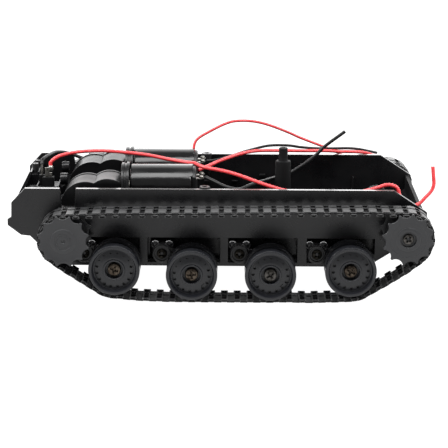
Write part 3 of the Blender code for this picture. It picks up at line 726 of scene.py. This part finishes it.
def make_arm(side, word, k):
    """Trailing arm: a round hub on the tub's pin, a waisted link and the wheel's axle."""
    pivot = Vector((ARM_PIVOTS[k], ARM_PIVOT_Z))
    tip = AXLES[k]
    lean = math.degrees(math.atan2(tip.y - pivot.y, tip.x - pivot.x))
    outline = arc(*pivot, 4.1, lean + 60, lean + 300, 20) + arc(*tip, 3.3, lean - 86, lean + 86, 16)
    bm = side_prism(bmesh.new(), outline, side, 34.9, 37.3)
    turn_y(bm, [(2.0, 36.9), (2.0, 49.3), (1.7, 49.55)], tip, side, 32)
    collar = [(4.0, 36.5), (4.0, 37.7), (3.7, 37.95), (3.05, 37.95), (2.9, 37.75), (2.9, 36.9)]
    turn_y(bm, collar, pivot, side, 40)
    name = f"arm_{word}_{k + 1}"
    stand_in(name, "link", bm, body=name, bevel=0.3, segments=3)


def make_suspension(side, word, screws):
    """Four wheels on their arms, and the screws of the wheels, arms and idler, each turned differently."""
    for k, pivot in enumerate(ARM_PIVOTS):
        make_wheel(side, word, k)
        make_arm(side, word, k)
        arm, screw = f"arm_{word}_{k + 1}", f"wheel_screw_{word}_{k + 1}"
        pattern = screws["dark"] if k == 2 else screws["worn"]
        place_screw(pattern, f"{screw}_head", AXLES[k], side, 51.75, 0.35 + 1.1 * k, arm, [screw])
        place_screw(screws["pivot"], f"arm_screw_{word}_{k + 1}", (pivot, ARM_PIVOT_Z), side, 38.35, 0.8 * k,
                    arm)
    screw = f"idler_screw_{word}"
    place_screw(screws["idler"], f"{screw}_head", IDLER, side, 51.9, 0.6, "root", [screw])


def make_running_gear():
    screws = {"worn": cross_screw("screw_worn", STEEL, SCREW_WHEEL_R, 2.0),
              "dark": cross_screw("screw_dark", DARK_STEEL, SCREW_WHEEL_R, 2.0),
              "pivot": cross_screw("screw_pivot", PIVOT_STEEL, SCREW_PIVOT_R, 1.2),
              "idler": cross_screw("screw_idler", DARK_STEEL, SCREW_IDLER_R, 1.6)}
    for side, word in SIDES.items():
        make_track(side, word)
        make_lug_ends(side, word)
        make_sprockets(side, word)
        make_suspension(side, word, screws)
    for pattern in screws.values():
        bpy.data.objects.remove(pattern)


make_running_gear()


# -------------------------------- tub

PANEL_OUTER, PANEL_WALL, TUB_TOP, TUB_BOTTOM = 34.0, 1.9, 44.5, 11.0
PANEL_INNER = PANEL_OUTER - PANEL_WALL
FLOOR_TOP = 13.5                   # a little under the floor's upper face, where what stands on it begins
FOOT = 14.0                        # where the gearboxes and motor holders begin
POST = (27.8, 0.0)
POCKET_TOP, POCKET_BOTTOM, POCKET_FLOOR, BLOCK_INNER = 23.4, 12.6, 28.8, 27.3
PANEL_OUTLINE = [
    (-81.9, TUB_TOP), (-67.3, TUB_TOP), (-66.4, 36.7), (-61.0, 36.7), (-60.4, TUB_TOP),
    (73.5, TUB_TOP), (87.7, 35.2), (87.7, 27.0), (67.4, 13.9), (62.9, TUB_BOTTOM),
    (-67.4, TUB_BOTTOM), (-80.1, 23.8), (-83.9, 24.2), (-89.5, 28.5), (-89.5, 31.0),
    (-87.9, 32.0), (-87.7, 38.3)]
SHELL_PATH = [
    (-86.5, 38.4), (-86.5, 27.8), (-83.5, 25.3), (-79.7, 24.9), (-66.9, 12.1), (62.4, 12.1),
    (67.0, 14.9), (86.6, 27.8), (86.6, 35.2)]
POCKETS = [(-58.0, -33.7), (-30.3, 0.4), (3.9, 33.2), (37.3, 66.0)]


def offset_path(points, distance):
    """An open path moved sideways, to the left of its direction."""
    points = [Vector(p) for p in points]
    normals = []
    for a, b in zip(points, points[1:]):
        normals.append(across((b - a).normalized()))
    moved = [points[0] + normals[0] * distance]
    for p, a, b in zip(points[1:], normals, normals[1:]):
        moved.append(p + (a + b) * (distance / (1 + a.dot(b))))
    moved.append(points[-1] + normals[-1] * distance)
    return [tuple(p) for p in moved]


def make_side_panel(side, word):
    """Side wall and, behind it, the block with a pocket for each wheel arm."""
    bm = side_prism(bmesh.new(), PANEL_OUTLINE, side, PANEL_INNER, PANEL_OUTER)
    # The top faces take the second material, a painted highlight along the wall's top edge
    for face in bm.faces:
        if min(v.co.z for v in face.verts) > TUB_TOP - 0.01:
            face.material_index = 1
    panel = piece(f"side_panel_{word}", bm, bevel=0.12, segments=3, smooth=30)
    panel.data.materials.append(PAINTED_HIGHLIGHT)
    slope = [(-59.5, 11.5), (-59.5, 24.8), (67.0, 24.8), (67.0, 15.6), (60.7, 11.5)]
    boolean(panel, side_prism(bmesh.new(), slope, side, BLOCK_INNER, PANEL_OUTER - 0.4), "UNION")
    for start, stop in POCKETS:
        # The nose cuts the corner of the last pocket off
        cut_x, cut_z = (6.0, 4.0) if stop == POCKETS[-1][1] else (0.0, 0.5)
        outline = [(start, POCKET_BOTTOM), (stop - cut_x, POCKET_BOTTOM), (stop, POCKET_BOTTOM + cut_z),
                   (stop, POCKET_TOP), (start, POCKET_TOP)]
        boolean(panel, side_prism(bmesh.new(), outline, side, POCKET_FLOOR, PANEL_OUTER + 6.0))
    boolean(panel, turn_y(bmesh.new(), [(2.3, 30.0), (2.3, 38.0)], DRIVE, side, 32))


def make_spring_housings(side, word):
    """Rounded covers over the arm springs, each with a domed front and two ears, and the pins they hold."""
    corners = ((2.3, 2.2, 0), (-2.3, 2.2, 90), (-2.3, -1.2, 180), (2.3, -1.2, 270))
    front = ((28.2, 0.0), (30.6, 0.0), (31.4, 0.1), (32.2, 0.45), (32.9, 1.0), (33.4, 1.6), (33.7, 2.2),
             (33.8, 2.9))
    ear_profile = [(2.3, 30.0), (2.3, 32.6), (2.15, 33.4), (1.75, 34.1), (1.1, 34.6), (0.4, 34.8)]
    bm = bmesh.new()
    for pivot in ARM_PIVOTS:

        def ring(y, shrink):
            outline = []
            for dx, dz, start in corners:
                outline += arc(pivot + dx, ARM_PIVOT_Z + dz, 3.1 - shrink, start, start + 90, 8)
            return [(x, side * y, z) for x, z in outline]

        skin(bm, [ring(y, shrink) for y, shrink in front])
        for ear in (-2.9, 2.9):
            turn_y(bm, ear_profile, (pivot + ear, ARM_PIVOT_Z + 3.0), side, 28)
        turn_y(bm, [(1.5, 34.0), (1.5, 37.1)], (pivot, ARM_PIVOT_Z), side, 24)
    piece(f"spring_housings_{word}", bm, GLOSSY, smooth=50)


def make_pocket_ribs(side, word):
    """A web behind each arm but the rearmost, with a rib at its top and one at its bottom."""
    bm = bmesh.new()
    for pivot in ARM_PIVOTS[1:]:
        left = pivot - 6.9
        side_block(bm, side, (left - 0.8, left), (28.4, 33.6), (12.7, 23.2))
        for z in (13.1, 21.6):
            side_block(bm, side, (left - 2.4, left - 0.7), (28.4, 31.5), (z, z + 0.9))
    piece(f"pocket_ribs_{word}", bm, bevel=0.15)


def make_idler_spindle(side, word):
    """Boss on the panel, and the spindle that the idler turns on."""
    profile = [(5.2, 33.6), (5.0, 35.0), (4.6, 37.3), (2.0, 37.3), (2.0, 50.2)]
    piece(f"idler_spindle_{word}", turn_y(bmesh.new(), profile, IDLER, side, 40), bevel=0.2)


def make_floor_shell():
    """Folded floor, nose and tail in one skin, with ribs, screw bosses and the foot of the post."""
    outline = SHELL_PATH + offset_path(SHELL_PATH, 1.6)[::-1]
    bm = prism(bmesh.new(), outline, -(PANEL_OUTER - 1.0), PANEL_OUTER - 1.0)
    for face in bm.faces:
        if max(v.co.x for v in face.verts) < -78.0:
            face.material_index = 1
    shell = piece("floor_shell", bm, DULL, bevel=0.18, segments=3, smooth=20, replaces=["hull_tub"])
    shell.data.materials.append(MATTE)
    ribs = bmesh.new()
    for x in (-28.0, 12.0, 36.0, 52.0):
        block(ribs, (x - 0.6, -27.2, FLOOR_TOP), (x + 0.6, 27.2, 15.2))
    for y in (-14.0, 14.0):
        block(ribs, (-8.0, y - 0.6, FLOOR_TOP), (60.0, y + 0.6, 15.0))
    for place in ((-20.0, 0.0), (14.5, 20.0), (14.5, -20.0), (46.0, 18.0), (46.0, -18.0), (57.0, 0.0)):
        turn_z(ribs, [(2.4, FLOOR_TOP), (2.2, 17.5), (1.0, 17.5), (1.0, 14.5)], place, 28)
    piece("floor_ribs", ribs, bevel=0.15)
    foot = turn_z(bmesh.new(), [(6.2, FLOOR_TOP), (5.8, 14.2), (4.6, 14.6)], POST, 40)
    piece("post_foot", foot, smooth=40)


def make_wall_details():
    """Small clips and ribs on the inner faces of the side walls, and the deck screw bosses."""
    bm, bosses = bmesh.new(), bmesh.new()
    boss = [(1.6, 36.0), (2.3, 38.5), (2.3, 44.9), (2.1, 45.2), (1.15, 45.2), (1.0, 45.0), (1.0, 40.0)]
    clip, rib = (PANEL_INNER - 1.4, PANEL_INNER + 0.3), (PANEL_INNER - 1.0, PANEL_INNER + 0.3)
    for side in SIDES:
        for x in (-6.2, 6.6, 19.4):
            side_block(bm, side, (x - 1.3, x + 1.3), clip, (34.4, 35.3))
            side_block(bm, side, (x - 1.3, x + 1.3), clip, (31.6, 32.4))
        side_block(bm, side, (60.7, 61.5), rib, (24.6, 34.4))
        side_block(bm, side, (-46.0, -45.2), rib, (24.6, 42.0))
        turn_z(bosses, boss, (-6.2, side * 31.2), 36)
    piece("wall_ribs", bm, bevel=0.12)
    piece("deck_bosses", bosses, smooth=40)


def make_tail_fittings():
    """Rear ledge with its rims and pins, and the terminal board with its own."""
    bm = bmesh.new()
    ledge = [((-85.4, 13.8, 31.0), (-81.2, 33.0, 38.9)), ((-85.4, 13.8, 38.6), (-84.5, 33.0, 40.0)),
             ((-82.1, 13.8, 38.6), (-81.2, 33.0, 40.0)), ((-85.4, 22.0, 38.6), (-81.2, 23.0, 40.0))]
    board = [((-80.6, -5.0, 20.0), (-70.8, 9.0, 36.9)), ((-80.6, -5.0, 36.6), (-79.9, 9.0, 38.0)),
             ((-71.5, -5.0, 36.6), (-70.8, 9.0, 38.0)), ((-80.6, -5.0, 36.6), (-70.8, -4.2, 38.0)),
             ((-86.0, -2.0, 30.0), (-80.0, 6.0, 36.0))]
    for low, high in ledge + board:
        block(bm, low, high)
    piece("tail_fittings", bm, bevel=0.18)
    pins = turn_z(bmesh.new(), [(1.5, 38.7), (1.5, 42.6), (1.3, 42.9), (0.55, 42.9), (0.55, 41.0)],
                  (-83.3, 18.4), 28)
    turn_z(pins, [(1.5, 38.7), (1.5, 41.8), (1.3, 42.1), (0.55, 42.1), (0.55, 40.5)], (-83.3, 28.2), 28)
    piece("ledge_pins", pins, smooth=40)


def make_side_bosses():
    """Two round tubes that lie behind the gearboxes and take the frame screws."""
    bm = bmesh.new()
    for x, y, z in ((-69.9, 20.0, 40.8), (-68.4, -2.6, 41.0)):
        profile = [(x + 1.6, 2.6), (x - 1.1, 2.6), (x - 1.5, 2.3), (x - 1.5, 1.5), (x + 0.9, 1.3)]
        turn_x(bm, profile, (y, z), 32)
    piece("tail_screw_bosses", bm, smooth=40)


def make_tub():
    make_floor_shell()
    for side, word in SIDES.items():
        make_side_panel(side, word)
        make_spring_housings(side, word)
        make_pocket_ribs(side, word)
        make_idler_spindle(side, word)
    make_wall_details()
    make_tail_fittings()


# -------------------------------- gearboxes, motors, clips, post and terminals

PINION_TEETH, PINION_SHAFT_R = 6, 0.75
PINION_TOOTH = ((-0.34, 1.2), (-0.22, 1.3), (-0.13, 1.75), (-0.05, 1.88), (0.05, 1.88), (0.13, 1.75),
                (0.22, 1.3), (0.34, 1.2))      # (share of a tooth's turn, radius)
CLUSTER = (-57.0, 35.2)
GEARBOX_FACES = (9.7, 26.9)
MOTOR_Y, MOTOR_Z = 15.0, 40.7
MOTOR_X = (-38.3, -12.0)
TAB_Y = (3.0, -3.0)                # of the brush tabs, from the motor's axis
FILM_POINTS = 15
METAL = (TINNED, "plated_lug")


def gearbox_outline(grow=0.0):
    """Side view of the case: output lobe, two upper lobes and a flat foot."""
    return (arc(*DRIVE, 9.8 + grow, 225, 112, 14)
            + arc(*CLUSTER, 10.2 + grow, 172, 72, 14)
            + arc(-47.6, 37.4, 9.3 + grow, 128, 57, 14)
            + [(-42.5 + grow, FOOT), (-65.7 - grow, FOOT)])


def make_gearbox(side, word):
    """Lobed case with a rim round its outer face and bosses on it, and a cover that closes its inner side."""
    inner, outer = GEARBOX_FACES
    bm = side_prism(bmesh.new(), gearbox_outline(), side, inner + 1.8, outer)
    look = (GEARBOX, "gearbox_plastic")
    case = stand_in(f"gearbox_case_{word}", "shell", bm, *look, bevel=0.3, segments=3, smooth=20)
    hollows = [circle(*DRIVE, 8.7, 40), circle(*CLUSTER, 9.0, 40),
               [(-53.0, 34.0), (-43.4, 34.0), (-43.4, 43.4), (-45.2, 45.3), (-50.5, 45.3), (-53.0, 43.5)]]
    for shape in hollows:
        boolean(case, side_prism(bmesh.new(), shape, side, inner, outer - 1.3))
    boolean(case, turn_y(bmesh.new(), [(1.9, outer - 3), (1.9, outer + 2)], DRIVE, side, 28))
    boolean(case, turn_x(bmesh.new(), [(-44.4, 1.3), (-41.0, 1.3)], (side * MOTOR_Y, MOTOR_Z), 24))
    seam = side_prism(bmesh.new(), gearbox_outline(0.35), side, outer - 1.6, outer - 0.05)
    rim = piece(f"gearbox_rim_{word}", seam, *look, bevel=0.12, smooth=20)
    boolean(rim, side_prism(bmesh.new(), gearbox_outline(-0.2), side, outer - 3.0, outer + 1.0))
    bm = side_prism(bmesh.new(), gearbox_outline(0.25), side, inner, inner + 1.5)
    stand_in(f"gearbox_cover_{word}", "plate", bm, *look, bevel=0.3, segments=3, smooth=20)
    details = bmesh.new()
    for centre, radius in ((DRIVE, 4.2), (CLUSTER, 3.0), ((-48.06, 40.7), 2.4)):
        turn_y(details, [(radius, outer - 0.4), (radius, outer + 0.5), (radius - 0.3, outer + 0.75),
                         (2.2 if radius > 4 else 0.4, outer + 0.75)], centre, side, 36)
    piece(f"gearbox_bosses_{word}", details, *look, smooth=40)


def can_section(radius, flat):
    """Section of a flat-sided motor: two flats at the sides joined by round top and bottom."""
    reach = math.degrees(math.acos(flat / radius))
    top = arc(0.0, 0.0, radius, reach, 180 - reach, 24)
    return top + [(-y, -z) for y, z in top]


def motor_shape(bm, steps, y):
    """Skin motor sections given as (X, radius, flat)."""
    return skin(bm, [[(x, y + a, MOTOR_Z + b) for a, b in can_section(radius, flat)]
                     for x, radius, flat in steps])


def make_motor(side, word):
    """Can in a shrunk film sleeve, with the film's torn edge and the nose bearing."""
    y, (front, rear) = side * MOTOR_Y, MOTOR_X
    bm = motor_shape(bmesh.new(), [(front, 8.6, 7.6), (front, 9.2, 8.0), (front + 0.25, 9.75, 8.4),
                                   (front + 0.8, 10.0, 8.6), (rear - 0.9, 10.0, 8.6), (rear - 0.35, 9.8, 8.4),
                                   (rear, 9.3, 8.1), (rear, 8.8, 7.7)], y)
    stand_in(f"motor_{word}", "sleeve", bm, SLEEVE, "motor_sleeve", smooth=50)
    nose = [(front + 0.2, 3.0), (front - 1.1, 3.0), (front - 1.3, 2.8), (front - 1.3, 1.05),
            (front - 1.35, 1.0)]
    piece(f"motor_{word}_nose", turn_x(bmesh.new(), nose, (y, MOTOR_Z), 32), *METAL)
    edge = []
    for i in range(FILM_POINTS):
        out = direction(math.radians(42 + 96 * i / (FILM_POINTS - 1)))
        torn = rear + 0.05 + (0.5 if i % 3 == 1 else 0.12 if i % 2 else 0.3)
        edge.append([(x, y + radius * out.x, MOTOR_Z + radius * out.y)
                     for x, radius in ((rear - 1.6, 10.06), (torn, 10.12), (torn, 9.95))])
    piece(f"motor_{word}_film_edge", skin(bmesh.new(), edge), SLEEVE, "motor_sleeve", smooth=60)


def make_end_bell(side, word):
    """Plastic end bell with side slots, a bearing cup, brush tabs and their solder."""
    y, rear = side * MOTOR_Y, MOTOR_X[1]
    bm = motor_shape(bmesh.new(), [(rear + 0.3, 9.3, 7.0), (rear + 1.5, 9.3, 7.0), (rear + 1.9, 9.0, 6.8),
                                   (rear + 1.9, 8.6, 6.5)], y)
    cup = [(rear + 1.7, 2.7), (rear + 2.7, 2.6), (rear + 2.9, 2.4), (rear + 2.9, 1.1), (rear + 2.3, 1.0)]
    turn_x(bm, cup, (y, MOTOR_Z), 32)
    bell = stand_in(f"motor_end_bell_{word}", "cap", bm, BELL, "end_bell_plastic", bevel=0.12)
    for z in (MOTOR_Z - 5.2, MOTOR_Z + 5.2):
        slots = bmesh.new()
        for low in (y - 4.6, y + 2.2):
            block(slots, (rear + 1.2, low, z - 0.7), (rear + 3.0, low + 2.4, z + 0.7))
        boolean(bell, slots)
    tab = [(rear + 1.2, 45.1), (rear + 3.6, 45.1), (rear + 5.3, 45.45), (rear + 5.3, 46.0),
           (rear + 3.4, 45.65), (rear + 1.2, 45.65)]
    blob = [(1.0, 45.75), (1.15, 46.1), (0.95, 46.5), (0.5, 46.8), (0.1, 46.9)]
    tabs, solder = bmesh.new(), bmesh.new()
    for dy in TAB_Y:
        prism(tabs, tab, y + dy - 1.1, y + dy + 1.1)
        turn_z(solder, blob, (rear + 4.1, y + dy), 20)
    piece(f"motor_tabs_{word}", tabs, *METAL, bevel=0.1)
    piece(f"motor_solder_{word}", solder, *METAL, smooth=60)


def make_motor_clip(side, word):
    """Arched holder with a rim, standing on the floor over the motor's nose."""
    y, front, inner = side * MOTOR_Y, MOTOR_X[0] - 0.4, 9.7
    bm = bmesh.new()
    for x0, x1, outer in ((front - 3.4, front - 2.2, 10.6), (front - 2.2, front - 1.2, 10.25),
                          (front - 1.2, front, 10.9)):
        outline = [(y + outer, FOOT), *arc(y, MOTOR_Z, outer, 0, 180, 32), (y - outer, FOOT),
                   (y - inner, FOOT), *arc(y, MOTOR_Z, inner, 180, 0, 32), (y + inner, FOOT)]
        skin(bm, [[(x, a, b) for a, b in outline] for x in (x0, x1)])
    stand_in(f"motor_clip_{word}", "arch", bm, bevel=0.18, segments=3, smooth=30)


def make_post():
    """Tall standoff: tapered tube, shouldered top and a screw hole."""
    profile = [(4.4, 14.0), (4.2, 15.2), (3.9, 20.0), (3.55, 37.0), (3.4, 48.4), (3.2, 49.1), (2.15, 49.3),
               (1.98, 49.6), (1.95, 54.7), (1.75, 55.0), (1.05, 55.0), (0.9, 54.8), (0.9, 48.5)]
    stand_in("deck_post", "tube", turn_z(bmesh.new(), profile, POST, 48), DULL, smooth=30)


def make_terminals():
    """Two power lugs, a stepped one and a thin blade, the feet that they stand in and a blob of solder."""
    step = [(-76.9, 38.3), (-73.9, 38.3), (-73.9, 43.2), (-75.0, 43.2), (-75.0, 45.4), (-76.9, 45.4)]
    stand_in("terminal_red", "lug", prism(bmesh.new(), step, -0.4, 0.4), *METAL, bevel=0.14)
    blade = [(-79.0, 38.3), (-78.1, 38.3), (-78.1, 45.9), (-78.3, 46.2), (-78.8, 46.2), (-79.0, 45.9)]
    stand_in("terminal_black", "lug", prism(bmesh.new(), blade, 1.6, 2.2), *METAL, bevel=0.1)
    feet = block(bmesh.new(), (-78.0, -1.8, 36.8), (-73.0, 1.2, 41.3))
    block(feet, (-79.9, 1.5, 36.8), (-77.2, 3.4, 41.6))
    piece("terminal_feet", feet, DULL, "end_bell_plastic", bevel=0.15)
    blob = [(1.0, 43.6), (1.25, 44.4), (1.1, 45.3), (0.8, 46.0), (0.2, 46.3)]
    piece("terminal_solder", turn_z(bmesh.new(), blob, (-74.6, 1.2), 20), *METAL, smooth=60)


def make_pinion(side, word):
    """Six-toothed steel pinion on the motor's shaft; its tips pass just under the crown gear's teeth."""
    tips = [(direction(math.pi / 2 + (i + share) * TAU / PINION_TEETH), radius)
            for i in range(PINION_TEETH) for share, radius in PINION_TOOTH]
    teeth = [out * radius for out, radius in tips]
    shaft = [out * PINION_SHAFT_R for out, _ in tips]
    rings = [[(x, side * MOTOR_Y + p.x, MOTOR_Z + p.y) for p in shape]
             for x, shape in ((-45.3, teeth), (-43.7, teeth), (-43.7, shaft), (-35.6, shaft))]
    stand_in(f"motor_pinion_{word}", "teeth", skin(bmesh.new(), rings), STEEL, "screw_steel",
             f"pinion_{word}", smooth=20)


def make_drive_units():
    """Gearbox, motor, holder and gears of each side. The three larger gears keep the solids' own shapes."""
    for side, word in SIDES.items():
        make_gearbox(side, word)
        make_motor(side, word)
        make_end_bell(side, word)
        make_motor_clip(side, word)
        for gear in ("output_gear", "cluster_gear", "crown_gear"):
            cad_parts[f"{gear}_{word}"].data.materials[0] = NYLON
        make_pinion(side, word)


make_tub()
make_side_bosses()
make_drive_units()
make_post()
make_terminals()


# -------------------------------- wires

SUPPLY_R, RIGHT_R, LEFT_R = 0.8, 0.75, 0.62
WIRE_SHIFT = Vector((-0.15, 0.0, -0.3))
WIRE_STEP = 1.2
WIRES = {
    "wire_red_left_motor": [
        (-12.0, 17.2, 49.4), (-10.6, 18.5, 54.3), (-4.7, 19.5, 58.1), (3.4, 21.0, 61.8),
        (9.2, 22.3, 62.5), (16.1, 23.8, 61.8), (22.9, 25.5, 59.7), (31.7, 28.0, 55.8), (36.4, 29.3, 53.4),
        (46.2, 31.9, 49.1), (51.0, 33.4, 46.9), (54.0, 35.4, 45.2), (57.0, 38.5, 43.0),
        (60.5, 42.0, 41.4), (66.0, 44.5, 41.1)],
    "wire_red_right_motor": [
        (-9.1, -12.0, 48.0), (-5.6, -9.0, 48.7), (-3.0, -6.5, 49.3), (0.0, -4.0, 50.1), (8.2, 2.0, 51.7),
        (16.0, 8.0, 51.9), (25.1, 14.0, 50.8), (38.5, 22.0, 48.9), (48.4, 28.0, 47.6), (55.0, 31.0, 46.6),
        (63.0, 33.6, 45.9), (67.5, 36.0, 44.8), (71.0, 39.5, 42.9), (74.0, 43.0, 42.0)],
    "wire_black_left_motor": [
        (-5.8, 12.0, 46.2), (-1.0, 13.0, 46.6), (5.0, 15.5, 47.8), (11.0, 18.0, 49.3), (16.1, 20.0, 50.3),
        (20.7, 21.5, 51.1), (25.3, 23.0, 51.2), (31.7, 25.0, 50.6), (36.4, 26.5, 49.6),
        (43.8, 28.9, 48.5), (52.0, 31.2, 48.0), (59.0, 33.6, 47.6), (64.0, 37.0, 46.4),
        (69.0, 41.0, 44.6), (73.0, 46.5, 42.6)],
    "wire_black_right_motor": [
        (-5.8, -18.0, 46.2), (-2.5, -21.0, 45.4), (3.0, -24.5, 43.6), (8.7, -25.0, 42.8),
        (14.0, -19.0, 43.4), (19.0, -9.0, 42.4), (24.1, 3.0, 40.9), (28.1, 7.2, 41.0), (32.0, 8.6, 42.2),
        (38.2, 10.0, 46.0), (42.8, 11.0, 49.5), (46.9, 11.0, 53.7), (55.5, 10.0, 60.6)],
    "wire_red_supply": [
        (-74.2, 1.4, 45.2), (-74.6, 1.4, 47.4), (-72.7, 2.0, 49.2), (-70.1, 3.0, 50.4),
        (-64.4, 4.0, 51.6), (-57.7, 4.0, 52.3), (-48.8, 3.0, 52.6), (-39.9, 2.0, 52.1),
        (-31.0, 0.0, 51.5), (-22.1, -3.0, 50.4), (-13.4, -8.0, 50.2), (-10.8, -10.8, 50.7),
        (-7.0, -15.0, 50.0), (1.6, -19.0, 49.3), (8.5, -22.0, 48.1), (20.3, -27.5, 45.2),
        (28.1, -30.0, 43.6), (38.0, -30.8, 42.0), (50.0, -30.8, 42.0), (60.0, -30.4, 43.4),
        (66.9, -29.7, 45.0), (69.6, -29.2, 45.9), (72.1, -28.8, 46.1), (74.6, -28.8, 45.4),
        (75.9, -29.1, 43.9), (76.6, -29.8, 41.4), (79.0, -30.6, 38.2), (82.4, -30.6, 37.5),
        (85.0, -30.0, 38.4), (87.2, -29.2, 40.6), (90.0, -28.0, 43.4), (91.0, -27.6, 46.1),
        (90.8, -27.0, 49.4), (90.4, -26.5, 53.7)],
    "wire_black_supply": [
        (-78.5, 3.3, 46.4), (-78.4, 5.0, 48.0), (-76.4, 12.0, 48.4), (-73.9, 22.0, 47.6),
        (-69.2, 29.2, 45.4), (-60.0, 29.8, 42.0), (-48.0, 29.8, 39.0), (-34.0, 29.0, 34.0),
        (-18.0, 26.0, 28.0), (-4.0, 19.0, 22.0), (10.0, 8.0, 18.0), (22.0, -7.0, 17.0),
        (34.0, -18.0, 20.0), (46.0, -25.0, 29.0), (56.0, -28.4, 38.5), (62.9, -28.4, 43.0),
        (64.2, -27.6, 44.2), (66.4, -26.6, 44.6), (68.5, -26.2, 44.2), (70.6, -26.0, 42.0)],
}


def smooth_route(points):
    """Evenly spaced points on one smooth curve through a wire's route, and its length."""
    ends = [points[0] * 2 - points[1]] + points + [points[-1] * 2 - points[-2]]
    fine = []
    for a, b, c, d in zip(ends, ends[1:], ends[2:], ends[3:]):
        for i in range(16):
            t = i / 16
            fine.append(0.5 * ((2 * b) + (c - a) * t + (2 * a - 5 * b + 4 * c - d) * t ** 2
                               + (3 * b - a - 3 * c + d) * t ** 3))
    fine.append(points[-1])
    lengths = [0.0]
    for a, b in zip(fine, fine[1:]):
        lengths.append(lengths[-1] + (b - a).length)
    count = round(lengths[-1] / WIRE_STEP)
    even, j = [], 0
    for i in range(count + 1):
        want = lengths[-1] * i / count
        while j < len(fine) - 2 and lengths[j + 1] < want:
            j += 1
        even.append(fine[j].lerp(fine[j + 1], (want - lengths[j]) / (lengths[j + 1] - lengths[j])))
    return even, lengths[-1]


def tube(name, points, radius, mat, replaces):
    """A round wire as a curve through points in millimetres."""
    curve = bpy.data.curves.new(name, "CURVE")
    curve.dimensions = "3D"
    curve.bevel_depth = radius * MM
    curve.bevel_resolution = 4
    curve.use_fill_caps = True
    spline = curve.splines.new("POLY")
    spline.points.add(len(points) - 1)
    for knot, point in zip(spline.points, points):
        knot.co = (*(point * MM), 1.0)
    spline.use_smooth = True
    curve.materials.append(mat)
    return assign(shown(name, curve), "root", replaces)


def make_wires():
    for name, route in WIRES.items():
        red = "red" in name
        radius = SUPPLY_R if "supply" in name else RIGHT_R if "right" in name else LEFT_R
        route = [Vector(point) + WIRE_SHIFT for point in route]
        points, length = smooth_route(route)
        mat, slot = (RED, "red_insulation") if red else (DARK, "black_insulation")
        wire = tube(f"{name}_insulation", points, radius, mat, [name])


make_wires()
